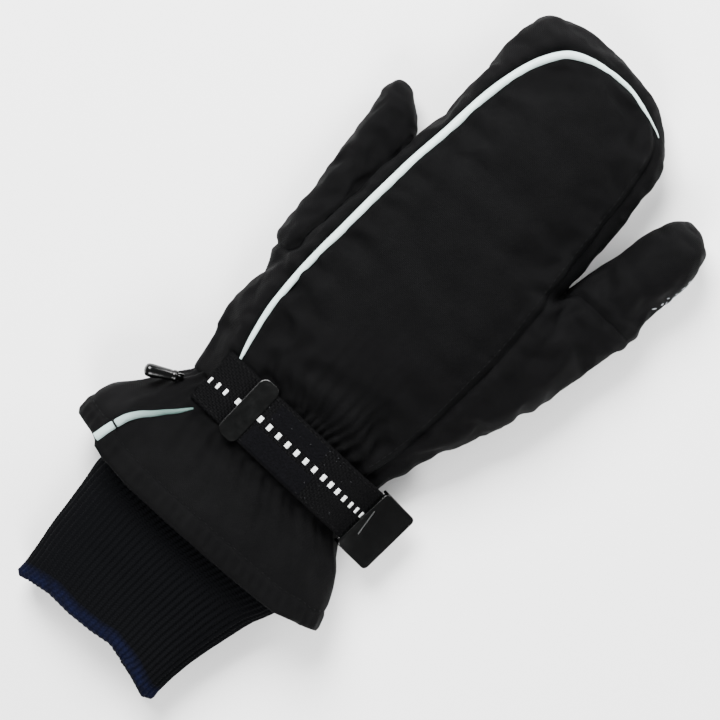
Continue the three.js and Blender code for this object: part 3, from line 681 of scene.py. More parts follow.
VALLEY = {"depth": 1.25 * MM, "width": 1.5 * MM}
UNDER_VALLEY = {"depth": 0.7 * MM, "width": 1.3 * MM}
ROLL = {"height": 0.45 * MM, "place": 4.2 * MM, "width": 2.6 * MM}
PUCKER = {"height": 0.55 * MM, "pitch": 6.5, "place": 2.8 * MM, "width": 3.2 * MM}  # pitch in mm
GATHER = {"height": 1.1 * MM, "reach": 17 * MM, "count": 26, "wander": 3}
WRIST_VALLEY = {"depth": 0.9 * MM, "width": 1.3 * MM}
LUMPS = [(1.1, (34, 46, 34), 2.0), (0.35, (13, 19, 13), 6.0)]  # height and size in mm, seed
LEVEL_SEAM = {"at": (75, 58), "reach": 13 * MM, "left": 0.2}  # where the side seam lies flush
CREASES = [  # x and y of both ends, depth and half width, all in mm
    (-52, -6, -38, -14, 1.5, 3.2),
    (-55, 4, -36, -2, 1.2, 2.8),
    (-46, 12, -30, 22, 0.9, 3.0),
    (44, 58, 30, 49, 1.3, 3.0),
    (49, 60, 45, 44, 1.0, 2.8),
    (62, 49, 48, 45, 0.9, 3.0),
    (66, 58, 60, 66, 0.8, 2.6),
    (-22, -34, 4, -28, 1.0, 3.6),
    (8, -30, 32, -36, 0.9, 3.4),
    (-28, -38, -20, -22, 0.8, 3.0),
    (18, -40, 22, -26, 0.8, 2.8),
    (-16, 30, 16, 26, 0.5, 4.5),
    (-26, 74, 20, 80, 0.6, 5.0),
    (-30, 104, 24, 98, 0.5, 4.5),
    (-60, 40, -48, 36, 0.7, 2.8),
    (-62, 58, -50, 55, 0.6, 2.8),
    (60, 84, 76, 78, 0.7, 2.6),
]


def crease_depth(places):
    total = np.zeros(len(places))
    for x0, y0, x1, y1, depth, width in CREASES:
        start = np.array([x0, y0]) * MM
        line = np.array([x1, y1]) * MM - start
        length = np.linalg.norm(line)
        wander = 1.6 * MM * waves(places, 9, x0 + 0.7)
        along = np.clip((places[:, :2] - start) @ line / length**2, 0, 1)
        nearest = start + along[:, None] * line
        gap = np.linalg.norm(places[:, :2] - nearest, axis=1) + wander
        fade = np.sin(np.pi * np.clip(0.08 + along * 0.84, 0, 1)) ** 0.7
        wave = bell(gap, width * MM) - 0.45 * bell(np.abs(gap) - 2 * width * MM, width * MM)
        total += depth * MM * wave * fade
    return total


CROTCH = {"end": (43.6, 62.2), "from": (45.3, 75.6), "width": 2.3 * MM, "fade": 30 * MM}
crotch = np.array(CROTCH["from"]) * MM
deeper = np.array(CROTCH["end"]) * MM - crotch
slit = unit(deeper)
offset = places[:, :2] - crotch
share = eased(1 - offset @ slit / CROTCH["fade"])
share *= bell(offset @ np.array([slit[1], -slit[0]]), CROTCH["width"])
places[:, :2] += share[:, None] * deeper
place_corners(skin, places)
out = values_of(skin.vertex_normals, "vector")
turn = np.arctan2(places[:, 2] - 18 * MM, places[:, 0] - places[:, 0].mean())
above = places[:, 1] - (STRAP_LINE + STRAP_WIDTH / 2)
near_strap = np.exp(-np.clip(above, 0, None) / GATHER["reach"])
gathers = np.cos(GATHER["count"] * turn + GATHER["wander"] * waves(places, (14, 30, 14), 4.0))
upper = np.clip((places[:, 2] - 3 * MM) / (6 * MM), 0, 1)
valley = VALLEY["depth"] * bell(upper_apart, VALLEY["width"])
lift = -np.maximum(valley, UNDER_VALLEY["depth"] * bell(under_apart, UNDER_VALLEY["width"]))
to_level = np.linalg.norm(places[:, :2] - np.array(LEVEL_SEAM["at"]) * MM, axis=1)
lift *= 1 - (1 - LEVEL_SEAM["left"]) * bell(to_level, LEVEL_SEAM["reach"])
lift += ROLL["height"] * bell(upper_apart - ROLL["place"], ROLL["width"])
lift -= WRIST_VALLEY["depth"] * bell(places[:, 1] - WRIST_CUT, WRIST_VALLEY["width"])
puckers = waves(places, PUCKER["pitch"], 9.0) * bell(apart - PUCKER["place"], PUCKER["width"])
lift += PUCKER["height"] * puckers
lift += GATHER["height"] * gathers * near_strap * upper
for height, size, seed in LUMPS:
    lift += height * MM * waves(places, size, seed) * upper
lift -= crease_depth(places) * upper * np.clip(out[:, 2] + 0.35, 0, 1)
places = places + out * lift[:, None]

# The strap draws the cloth in, and the table holds it up.
TABLE_GAP = 0.1 * MM
SOFTENED = 0.4 * MM
to_strap = strap_place.inverted()
limit, beyond = strap_limit(moved_by(to_strap, places))
over = places[:, 2] - limit
soft_limit = limit - SOFTENED * np.log1p(np.exp(-over / SOFTENED))
soft_limit = np.where(over < -10 * SOFTENED, places[:, 2], soft_limit)
pressed = (beyond < 14 * MM) & (places[:, 2] > 12 * MM)
places[:, 2] = np.where(pressed, np.minimum(places[:, 2], soft_limit), places[:, 2])
places[:, 2] = np.maximum(places[:, 2], TABLE_GAP)
place_corners(skin, places)
skin_tree = surface_tree(places, skin)
print("fine skin:", len(places), "corners")

# %% [markdown]
# ## Cutting the panels
# The skin is now cut along its seams, one field at a time. Where the field changes its sign along
# an edge, the edge is split there, and a face with two such points is split between them, so the
# cut runs smoothly across the faces. A corner that is nearly on the line steps onto it, which
# avoids slivers. Each panel then gets a real wall, inwards, and keeps the hollow open.


# %% Cutting the panels
def cut_off(bm, field):
    """Takes the part of bm where the field is below zero away, and returns it as its own mesh."""
    layer = bm.verts.layers.float["cut_" + field]
    on_line = set()
    steps = {}
    for edge in bm.edges:
        a, b = edge.verts
        if a[layer] * b[layer] < 0:
            share = a[layer] / (a[layer] - b[layer])
            near, far, step = (a, b, share) if share < 0.5 else (b, a, 1 - share)
            if step < 0.25:
                steps[near] = near.co.lerp(far.co, step)
    for corner, place in steps.items():
        corner.co = place
        corner[layer] = 0
        on_line.add(corner)
    for edge in list(bm.edges):
        a, b = edge.verts
        if a[layer] * b[layer] < 0:
            share = a[layer] / (a[layer] - b[layer])
            corner = bmesh.utils.edge_split(edge, a, share)[1]
            corner[layer] = 0
            on_line.add(corner)
    for face in list(bm.faces):
        ends = [corner for corner in face.verts if corner in on_line]
        if len(ends) == 2 and bm.edges.get(ends) is None:
            bmesh.utils.face_split(face, ends[0], ends[1])
    part = bm.copy()
    for mesh, sign in ((part, 1), (bm, -1)):
        level = mesh.verts.layers.float["cut_" + field]
        gone = [f for f in mesh.faces if sign * sum(corner[level] for corner in f.verts) > 0]
        bmesh.ops.delete(mesh, geom=gone, context="FACES")
    return part


def lay_cloth(bm):
    """A UV map in metres, laid on each face from the side that it faces most."""
    layer = bm.loops.layers.uv.new("cloth")
    bm.normal_update()
    for face in bm.faces:
        size = [abs(v) for v in face.normal]
        axis = size.index(max(size))
        for loop in face.loops:
            flat = [v for i, v in enumerate(loop.vert.co) if i != axis]
            loop[layer].uv = flat


WALL = 2.4 * MM
bm = opened(skin)
panels = {key: cut_off(bm, key) for key in ("little", "thumb", "palm", "back")}
panels["shell"] = bm
for key in ("little", "thumb"):
    panels[key + "_under"] = cut_off(panels[key], "side")
PANELS = [  # key, name, finish, slot, measured piece that it stands for
    ("back", "back_cloth", softshell, "softshell", ["back_panel"]),
    ("shell", "side_cloth", softshell, "softshell", ["hand_shell"]),
    ("palm", "palm_leather", leather, "palm_grip", ["palm_panel"]),
    ("little", "little_finger_cloth", softshell, "softshell", ["little_finger"]),
    ("little_under", "little_finger_palm", leather, "palm_grip", []),
    ("thumb", "thumb_cloth", softshell, "softshell", ["thumb"]),
    ("thumb_under", "thumb_palm", leather, "palm_grip", []),
]
for key, name, finish, slot, stands_for in PANELS:
    bm = panels[key]
    for layer in list(bm.verts.layers.float.values()):
        bm.verts.layers.float.remove(layer)
    lay_cloth(bm)
    piece = add_piece(name, bm, finish, stands_for)
    give_wall(piece, WALL)

# %% [markdown]
# ## Tubes of cloth
# The gauntlet and the knitted cuff are tubes. A grid is the simplest start: its columns go round
# the arm and its rows run to the hem, over the rim and back up the inside, so the wall is closed
# and the rim is round. The columns are felt onto the measured piece from outside, spaced evenly
# round it, and evened out so that no facet shows. The grid's own UV map gives the cloth's
# direction, in metres.


# %% Tubes of cloth
def felt_tube(name, middle, stretch, form):
    """Points on the outside of a measured tube, as an array of columns and rows."""
    tree = tree_of(name)
    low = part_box(name)[0].y - 2 * MM
    around, rows, start = form["around"], form["rows"], form["start"]
    points = np.empty((around, rows, 3))

    def felt(angle, y):
        way = Vector((math.cos(angle) * stretch, 0, math.sin(angle))).normalized()
        centre = Vector((middle[0], y, middle[1]))
        hit = tree.ray_cast(centre + way * 0.2, -way)[0]
        return hit if hit and (hit - centre).dot(way) > 0 else None

    for i in range(around):
        angle = 2 * math.pi * i / around
        inside, outside = start - 20 * MM, low
        for _ in range(12):
            halfway = (inside + outside) / 2
            if felt(angle, halfway):
                inside = halfway
            else:
                outside = halfway
        for j in range(rows):
            points[i, j] = felt(angle, start + (inside - start) * j / (rows - 1))
    for j in range(rows):
        ring = np.vstack([points[:, j], points[:1, j]])
        run = run_along(ring)
        points[:, j] = at_run(np.linspace(0, run[-1], around, endpoint=False), run, ring)
    return points


def shaped_hem(points, start, hem):
    """Each column stretched to end on the hem, a table of places as the picture shows them."""
    across, along = np.array(hem).T * MM
    nearness = 1 - (points[:, -1, 2] - MITT_HEIGHT) / VIEW_DISTANCE
    seen = PICTURE_MIDDLE[0] + (points[:, -1, 0] - PICTURE_MIDDLE[0]) / nearness
    ends = PICTURE_MIDDLE[1] + (np.interp(seen, across, along) - PICTURE_MIDDLE[1]) * nearness
    stretch = (ends - start) / (points[:, -1, 1] - start)
    points = points.copy()
    points[..., 1] = start + (points[..., 1] - start) * stretch[:, None]
    return points


def evened(points, round_passes, length_passes):
    """The facets smoothed away, with each row kept as wide and as high as it was."""
    low, high = points.min(axis=0), points.max(axis=0)
    for _ in range(round_passes):
        points = (np.roll(points, 1, 0) + 2 * points + np.roll(points, -1, 0)) / 4
    for _ in range(length_passes):
        inner = (points[:, :-2] + 2 * points[:, 1:-1] + points[:, 2:]) / 4
        points = np.concatenate([points[:, :1], inner, points[:, -1:]], axis=1)
    new_low, new_high = points.min(axis=0), points.max(axis=0)
    for k in (0, 2):
        share = (points[..., k] - new_low[:, k]) / (new_high - new_low)[:, k]
        points[..., k] = low[:, k] + share * (high - low)[:, k]
    return points


def grid_normals(points):
    round_way = np.roll(points, -1, 0) - np.roll(points, 1, 0)
    normal = unit(np.cross(np.gradient(points, axis=1), round_way))
    middle = points.mean(axis=(0, 1))
    return normal if ((points - middle) * normal).sum() > 0 else -normal


def walled_tube(points, wall, rim_steps=6, inner_rows=24):
    """Outer rows, a round rim, and inner rows back to the start, as one closed section."""
    normal = grid_normals(points)
    inner = points - normal * wall
    ahead = unit(points[:, -1] - points[:, -2])
    centre = (points[:, -1] + inner[:, -1]) / 2
    rim = []
    for angle in np.linspace(0, math.pi, rim_steps + 1)[1:-1]:
        rim.append(centre + wall / 2 * (normal[:, -1] * math.cos(angle) + ahead * math.sin(angle)))
    keep = np.linspace(points.shape[1] - 1, 0, inner_rows).round().astype(int)
    return np.concatenate([points, np.stack(rim, axis=1), inner[:, keep]], axis=1)


def wrapped_grid(places, u, v):
    """A grid over an array of places, with the cloth's map, merged where it meets itself."""
    columns, rows = len(u) - 1, len(v) - 1
    bm = bmesh.new()
    layer = bm.loops.layers.uv.new("cloth")
    bmesh.ops.create_grid(bm, x_segments=columns, y_segments=rows, size=1)
    spots = {}
    for corner in bm.verts:
        x, y = (corner.co.x + 1) / 2, (corner.co.y + 1) / 2
        spots[corner] = (round(x * columns), round(y * rows))
    for face in bm.faces:
        for loop in face.loops:
            i, j = spots[loop.vert]
            loop[layer].uv = (u[i], v[j])
    for corner, spot in spots.items():
        corner.co = places[spot]
    bmesh.ops.remove_doubles(bm, verts=bm.verts, dist=0.001 * MM)
    return bm


def grid_mesh(section):
    """A closed tube from an array of columns and rows."""
    around = len(section)
    looped = np.concatenate([section, section[:1]], axis=0)
    looped = np.concatenate([looped, looped[:, :1]], axis=1)
    width = run_along(looped[:, 0])[-1] / (around + 1)
    bm = wrapped_grid(looped, np.arange(around + 1) * width, run_along(looped[0]))
    bmesh.ops.recalc_face_normals(bm, faces=bm.faces)
    return bm


def tube_places(points):
    """A tube's normals, how far each place is from the start and the hem, and its turn."""
    run = run_along(points)
    turn = np.linspace(0, 2 * np.pi, len(points), endpoint=False)[:, None]
    return grid_normals(points), run, run[:, -1:] - run, turn


# %% [markdown]
# ## The gauntlet
# The gauntlet is one layer of softshell, gathered into the wrist seam and turned up at its hem,
# where a line of stitching holds a band of double cloth. Its broad waves are in the measured
# piece. The fine gathers fade out over the first part of the flare.

# %% The gauntlet
GAUNTLET = {"around": 320, "rows": 62, "wall": 1.8 * MM, "start": -64.6 * MM}
HEM_BAND = 9.5 * MM
FINE_GATHERS = {"height": 0.75 * MM, "count": 41, "reach": 15 * MM}
PLEATS = {"height": 0.7 * MM, "count": 17, "reach": 32 * MM}
RIPPLES = {"height": 0.2 * MM, "count": 64, "width": 4 * MM}  # between the hem and its stitches
THUMB_SWELL = {"height": 2.5 * MM, "above_hem": 18 * MM, "width": 9 * MM}
points = felt_tube("gauntlet", (-7 * MM, 20 * MM), 2.4, GAUNTLET)
GAUNTLET_HEM = [  # x and y in mm
    (-75.2, -101.5), (-74.2, -105.5), (-72.6, -107.9), (-68.6, -108.9), (-64.3, -110.1),
    (-61.4, -111.1), (-60.5, -112.3), (-56.2, -114.5), (-40, -116.8), (-10, -117.4),
    (20, -117.2), (39.9, -116.4), (50.9, -113.9), (55.1, -111.7), (57, -108.5),
]
points = shaped_hem(evened(points, 14, 3), GAUNTLET["start"], GAUNTLET_HEM)
TUCK = [(3.2, 2.0), (1.7, 0.9)]  # how far the wrist edge runs in under the hand's, and how deep
first = points[:, :1]
first_out = grid_normals(points)[:, :1] * np.array([1, 0, 1])
tucked = [first + np.array([0, run * MM, 0]) - first_out * depth * MM for run, depth in TUCK]
points = np.concatenate([*tucked, points], axis=1)
normal, run, to_hem, turn = tube_places(points)
soft = waves(points, (26, 34, 26), 3.0)
drift = waves(points, (30, 16, 30), 8.0)
gathers = 0.6 + np.cos(FINE_GATHERS["count"] * turn + 2.4 * drift)
lift = FINE_GATHERS["height"] * np.exp(-run / FINE_GATHERS["reach"]) * gathers
lift += 1.6 * MM * soft * np.clip(run / (12 * MM), 0, 1)
thumb_side = np.clip((-45 * MM - points[..., 0]) / (14 * MM), 0, 1)
swell = bell(to_hem - THUMB_SWELL["above_hem"], THUMB_SWELL["width"])
lift += THUMB_SWELL["height"] * swell * thumb_side
pleats = np.cos(PLEATS["count"] * turn + 1.6 * drift) * np.exp(-run / PLEATS["reach"])
lift += PLEATS["height"] * pleats * np.clip(run / (5 * MM), 0, 1)
lift += 0.45 * MM * waves(points, (9, 12, 9), 5.0)
lift += 0.4 * MM / (1 + np.exp((to_hem - HEM_BAND) / (0.35 * MM)))  # the doubled hem
lift -= 0.45 * MM * bell(to_hem - HEM_BAND, 0.8 * MM)  # drawn in by its stitches
ripples = np.cos(RIPPLES["count"] * turn + 2 * drift)
lift += RIPPLES["height"] * bell(to_hem - HEM_BAND / 2, RIPPLES["width"]) * ripples
GAUNTLET_PUSHES = [  # in mm
    (47, -82, 0.7, 0, 8), (51, -94, 0.9, 0, 8), (50, -114, -0.3, 0.8, 8), (-66, -84, -0.6, 0, 6),
    (-51, -62, 1.0, 0, 9),
]
points = pushed(points + normal * lift[..., None], GAUNTLET_PUSHES)
limit, beyond = strap_limit(moved_by(to_strap, points))
low_enough = (points[..., 2] < 14 * MM) | (beyond > 14 * MM)
points[..., 2] = np.where(low_enough, points[..., 2], np.minimum(points[..., 2], limit))
points[..., 2] = np.maximum(points[..., 2], TABLE_GAP)
gauntlet_points = points
gauntlet_run = run
bm = grid_mesh(walled_tube(points, GAUNTLET["wall"]))
gauntlet_tree = BVHTree.FromBMesh(bm)
add_piece("gauntlet_cloth", bm, softshell, ["gauntlet"])

# %% [markdown]
# ## The knitted cuff
# Ribbed knit stands in narrow ridges that run along the arm. The rib belongs in the mesh, because
# it shows in the outline of the hem. The chevron stitches are far smaller and stay in the bump.

# %% The knitted cuff
CUFF = {"around": 438, "rows": 84, "wall": 1.8 * MM, "start": -64.8 * MM}
RIBS = 73
points = felt_tube("storm_cuff", (-12 * MM, 14 * MM), 2.2, CUFF)
CUFF_HEM = [  # x and y in mm
    (-52, -171.5), (-49.5, -173.2), (-44, -172.3), (-35, -171.3), (-24, -172.3), (-12.5, -171.9),
    (-3, -170.6), (8, -173.3), (15.7, -176.4), (21.5, -178.2), (25, -176.5),
]
CUFF_PUSHES = [(-52, -158, 0.8, 0, 8), (16, -177, 0, 0.7, 8), (25, -171, -0.9, 0, 8)]  # in mm
points = pushed(shaped_hem(evened(points, 22, 6), CUFF["start"], CUFF_HEM), CUFF_PUSHES)
normal, run, to_hem, turn = tube_places(points)
soft = waves(points, (40, 22, 40), 11.0)
cross = waves(points, (60, 9, 60), 13.0)
lift = 0.36 * MM * np.cos(RIBS * turn) + 1.0 * MM * soft + 0.45 * MM * cross
lift += 0.5 * MM * bell(to_hem - 1.2 * MM, 1.6 * MM)
points = points + normal * (lift * np.clip(run / (20 * MM), 0.1, 1))[..., None]
points[..., 2] = np.maximum(points[..., 2], TABLE_GAP)
bm = grid_mesh(walled_tube(points, CUFF["wall"], inner_rows=40))
add_piece("knitted_cuff", bm, knit, ["storm_cuff"])

# %% [markdown]
# ## Sweeps along the surface
# Piping and strap are each a section carried along a line: a ring in the shape of the section at
# each place, bridged to the next. A grid that closes round the section does this in one step and
# brings its UV map along.


# %% Sweeps along the surface
def smooth_line(points, count):
    """Evenly spaced points on a smooth curve through the given ones."""
    points = np.array(points, float)
    ends = np.vstack([2 * points[0] - points[1], points, 2 * points[-1] - points[-2]])
    fine = []
    for a, b, c, d in zip(ends, ends[1:], ends[2:], ends[3:]):
        slope, bend, turn = c - a, 2 * a - 5 * b + 4 * c - d, 3 * b - a - 3 * c + d
        for t in np.linspace(0, 1, 24, endpoint=False):
            fine.append(0.5 * (2 * b + slope * t + bend * t**2 + turn * t**3))
    fine = np.array([*fine, points[-1]])
    run = run_along(fine)
    return at_run(np.linspace(0, run[-1], count), run, fine)


def swept(line, up, section, scale=1.0):
    """A closed section, as points (side, height), carried along a line; its ends are filled."""
    up, section = unit(up), np.array(section)
    side = unit(np.cross(unit(np.gradient(line, axis=0)), up))
    outline = section[:, :, None] * scale
    rings = line + side * outline[:, 0, :, None] + up * outline[:, 1, :, None]
    looped = np.concatenate([rings, rings[:1]], axis=0)
    bm = wrapped_grid(looped, run_along(np.vstack([section, section[:1]])), run_along(line))
    bmesh.ops.holes_fill(bm, edges=[e for e in bm.edges if e.is_boundary])
    bmesh.ops.recalc_face_normals(bm, faces=bm.faces)
    return bm


def felt_from_view(tree, plan, passes=10):
    """Places on a surface where a line in the picture lies, and the directions out of it."""
    hits = [tree.ray_cast(EYE, Vector((x, y, MITT_HEIGHT)) - EYE)[:2] for x, y in plan]
    path = np.array([place for place, _ in hits if place])
    up = np.array([out_way for place, out_way in hits if place])
    for _ in range(passes):
        up[1:-1] = (up[:-2] + 2 * up[1:-1] + up[2:]) / 4
        path[1:-1, 2] = (path[:-2, 2] + 2 * path[1:-1, 2] + path[2:, 2]) / 4
    return path, unit(up)


def join_into(target, part):
    mesh = mesh_of(part, "part")
    target.from_mesh(mesh)
    bpy.data.meshes.remove(mesh)


def on_hand(seam, aside=0.0):
    """Places in plan of a seam given in shares of the hand's length and width."""
    return [(x * HAND_WIDTH - aside, STRAP_LINE + y * HAND_LENGTH) for y, x in seam]


# %% [markdown]
# ## The long piping
# The piping runs up the left seam of the back panel, over the fingertips and down to the far
# corner. The table gives that seam in shares of the hand's length and width. Each place is felt
# on the padded skin along the camera's ray, and lifted where the finished cloth stands in front
# of it. The piping is widest along the side, where it faces up, and it narrows over the tip.

# %% The long piping
HAND_LENGTH = 209 * MM
HAND_WIDTH = 84 * MM
PIPING_SEAM = [  # share of the length from the strap, share of the width from the middle
    (0.062, -0.46), (0.09, -0.478), (0.118, -0.493), (0.157, -0.51), (0.196, -0.52),
    (0.275, -0.522), (0.333, -0.515), (0.392, -0.503), (0.471, -0.489), (0.53, -0.476),
    (0.588, -0.462), (0.667, -0.433), (0.725, -0.417), (0.77, -0.402), (0.819, -0.377),
    (0.875, -0.333), (0.913, -0.283), (0.938, -0.231), (0.952, -0.171), (0.96, -0.105),
    (0.965, -0.033), (0.967, 0.044), (0.966, 0.112), (0.959, 0.193), (0.949, 0.272),
    (0.939, 0.337), (0.932, 0.369),
]
PIPING_WIDTH = [  # share of its run, width in mm
    (0, 0.9), (0.02, 1.7), (0.05, 2.3), (0.14, 2.9), (0.3, 3.4), (0.6, 3.6), (0.78, 3.5),
    (0.83, 3.0), (0.88, 2.6), (0.93, 1.9), (0.965, 1.2), (1, 0.4),
]
NEAR = 5  # neighbours on both sides whose cloth counts
plan = smooth_line(on_hand(PIPING_SEAM), 220)
path, up = felt_from_view(smooth_tree, plan)
share = np.linspace(0, 1, len(path))
to_eye = unit(np.array(EYE) - path)
proud = ((felt_from_view(skin_tree, plan)[0] - path) * to_eye).sum(axis=1).clip(0)
proud = np.array([proud[max(0, i - NEAR) : i + NEAR + 1].max() for i in range(len(proud))])
proud += 0.45 * MM * np.clip((share - 0.84) / 0.06, 0, 1)
path = path + to_eye * proud[:, None]
width = np.interp(share, *np.array(PIPING_WIDTH).T) * MM


def piping_section(width, height, count=9):
    """Half an ellipse over a flat back, as points (side, height)."""
    arc = np.linspace(0, np.pi, count)
    return np.stack([np.cos(arc) * width / 2, np.sin(arc) * height], axis=1)


section = piping_section(1, 0.46)
section = np.vstack([section, [[-0.42, -0.3], [0, -0.38], [0.42, -0.3]]])
wobble = 0.08 * MM * waves(path, 7, 1.5)
bm = swept(path + up * (0.1 * MM + wobble[:, None]), up, section, width)
add_piece("long_piping", bm, piping_cloth, ["hand_piping"])

# %% [markdown]
# ## The short piping
# A second length of piping curves from the gauntlet's hem to its wrist seam, on the thumb's side.
# It is felt on the finished gauntlet along the camera's rays. The hem's stitching crosses it.

# %% The short piping
CUFF_PIPING = [  # x and y in mm
    (-62.7, -110.7), (-61.4, -105.1), (-60.0, -100.6), (-58.2, -96.0), (-55.2, -91.8),
    (-51.6, -88.3), (-48.2, -84.6), (-44.7, -81.0), (-42.1, -77.8), (-40.2, -75.5),
]
path, up = felt_from_view(gauntlet_tree, smooth_line(np.array(CUFF_PIPING) * MM, 110))
SHORT_WIDTH = [(0, 3.7), (0.28, 3.5), (0.5, 2.9), (0.7, 2.3), (0.88, 1.8), (1, 0.8)]
width = np.interp(np.linspace(0, 1, len(path)), *np.array(SHORT_WIDTH).T) * MM
run = run_along(path)
width *= 1 - 0.2 * bell(run - HEM_BAND, 0.5 * MM)
bm = swept(path + up * 0.15 * MM, up, section, width)
# Its finish carries painted shade, darker towards the wrist seam.
add_piece("short_piping", bm, painted_shade_piping, ["cuff_piping"])
short_path, short_up, short_run = path, up, run

# %% [markdown]
# ## The wrist strap
# One length of webbing: sewn down at the thumb's side, across the wrist to the buckle, round its
# bar and back over itself, held by hook and loop. Its middle line is the measured one, and the
# section is a flat band with soft edges.

# %% The wrist strap
BAR = Vector((42.98, 0, 16.96)) * MM
BUCKLE_SLOPE = math.radians(31)
FOLD_RADIUS = 2.2 * MM
slope_out = Vector((math.cos(BUCKLE_SLOPE), 0, -math.sin(BUCKLE_SLOPE)))
slope_up = Vector((math.sin(BUCKLE_SLOPE), 0, math.cos(BUCKLE_SLOPE)))
RUN_START = 33 * MM
lower_x = np.arange(STRAP_LEFT, RUN_START, 1.0 * MM)
lower = [(x, under_strap(x) + STRAP_THICK / 2) for x in lower_x]
upper = [(x, z + STRAP_THICK + LAYER_GAP) for x, z in lower if x > TONGUE_END + 3 * MM]
fold = []
for angle in np.linspace(-math.pi / 2, math.pi / 2, 9):
    spot = BAR + FOLD_RADIUS * (slope_out * math.cos(angle) + slope_up * math.sin(angle))
    fold.append((spot.x, spot.z))
ribbon = smooth_line(lower[::3] + fold + upper[::-1][::3], 300)
line = np.stack([ribbon[:, 0], np.zeros(len(ribbon)), ribbon[:, 1]], axis=1)
ahead = unit(np.gradient(line, axis=0))
band_up = np.stack([-ahead[:, 2], np.zeros(len(line)), ahead[:, 0]], axis=1)


def band_section(width, thick, count=22):
    """A flat band with rounded edges, as points (side, height)."""
    half = width / 2 - thick / 2
    arc = np.linspace(-np.pi / 2, np.pi / 2, 6)
    right = [(half + math.cos(a) * thick / 2, math.sin(a) * thick / 2) for a in arc]
    top = [(x, thick / 2) for x in np.linspace(half, -half, count)[1:-1]]
    left = [(-x, -z) for x, z in right]
    bottom = [(-x, -z) for x, z in top]
    return right + top + left + bottom


bm = swept(line, band_up, band_section(STRAP_WIDTH, STRAP_THICK * 0.9))
add_piece("strap_webbing", bm, webbing, ["wrist_strap"], at=strap_place)
print("ribbon length in mm:", round(float(run_along(line)[-1] / MM)))

# %% [markdown]
# ## Ticks, nap and end tab
# Pale ticks are woven down the middle of the webbing, one every 5 mm. Each is a small soft-edged
# block laid in the webbing's face. The loops of the fastener stand on both sides of them as a
# fuzzy nap, and a moulded tab closes the free end.

# %% Ticks, nap and end tab
TICK = {"along": 1.85, "across": 2.65, "high": 0.42, "edge": 0.12}  # in mm
LOWER_TICKS = [  # x, side and length along the strap, in mm
    (-41.9, -1.95, 1.0), (-38.0, -1.45, 1.3), (-34.1, -1.2, 1.35), (-27.8, -0.6, 1.85),
]
UPPER_TICKS = [  # x and side in mm, closer together where the strap runs down to the buckle
    (-16.3, -0.7), (-11.4, -0.7), (-6.4, -0.7), (-1.3, -0.7), (3.6, -0.8), (8.5, -0.9),
    (13.3, -0.9), (18.2, -1.0), (22.3, -0.9), (26.1, -0.8), (30.0, -0.5), (33.7, -0.4),
    (36.9, -0.4), (39.7, -0.3),
]
start_top = max(i for i in range(len(line)) if ribbon[i, 0] >= ribbon[:, 0].max() - 1e-9)
upper_line = line[start_top:]
upper_run = run_along(upper_line)
lower_line = np.array([(x, 0, z) for x, z in lower])
lower_run = run_along(lower_line)
FACE = STRAP_THICK * 0.45


def on_band(run, runs, line, side):
    """Frame on the band's outer face at a run along it."""
    before, place, after = [Vector(at_run(run + d * MM, runs, line)) for d in (-0.4, 0, 0.4)]
    along = (after - before).normalized()
    out_way = Vector((-along.z, 0, along.x))
    if out_way.z < 0:
        out_way.negate()
    return strap_place @ laid(place, along, out_way) @ Matrix.Translation((0, side, FACE))


def rounded(bm, edges, offset, segments):
    bmesh.ops.bevel(
        bm, geom=edges, offset=offset, affect="EDGES", segments=segments, profile=0.5, material=-1
    )


def block(*sizes):
    bm = bmesh.new()
    bmesh.ops.create_cube(bm, size=1, matrix=Matrix.Diagonal((*sizes, 1)))
    return bm


def soft_block(matrix, sizes, edge, segments=2):
    bm = block(*sizes)
    rounded(bm, bm.edges[:], edge, segments)
    bmesh.ops.transform(bm, matrix=matrix, verts=bm.verts)
    return bm


def plate_with_corners(length, width, high, radius, segments):
    """A flat block whose four upright edges are rounded."""
    bm = block(length, width, high)
    upright = [e for e in bm.edges if abs(e.verts[0].co.z - e.verts[1].co.z) > high / 2]
    rounded(bm, upright, radius, segments)
    return bm


def add_tick(line, runs, x, side, long):
    way = 1 if line[-1, 0] > line[0, 0] else -1
    run = np.interp(way * x * MM, way * line[:, 0], runs)
    sizes = (long * MM, TICK["across"] * MM, TICK["high"] * MM)
    join_into(ticks, soft_block(on_band(run, runs, line, side * MM), sizes, TICK["edge"] * MM))


ticks = bmesh.new()
for x, side, long in LOWER_TICKS:
    add_tick(lower_line, lower_run, x, side, long)
for index, (x, side) in enumerate(UPPER_TICKS):
    add_tick(upper_line, upper_run, x, side, TICK["along"] - 0.16 * max(0, index - 8))
layer = ticks.loops.layers.uv.verify()
for face in ticks.faces:
    for loop in face.loops:
        loop[layer].uv = loop.vert.co.xy
add_piece("strap_ticks", ticks, tick_thread)

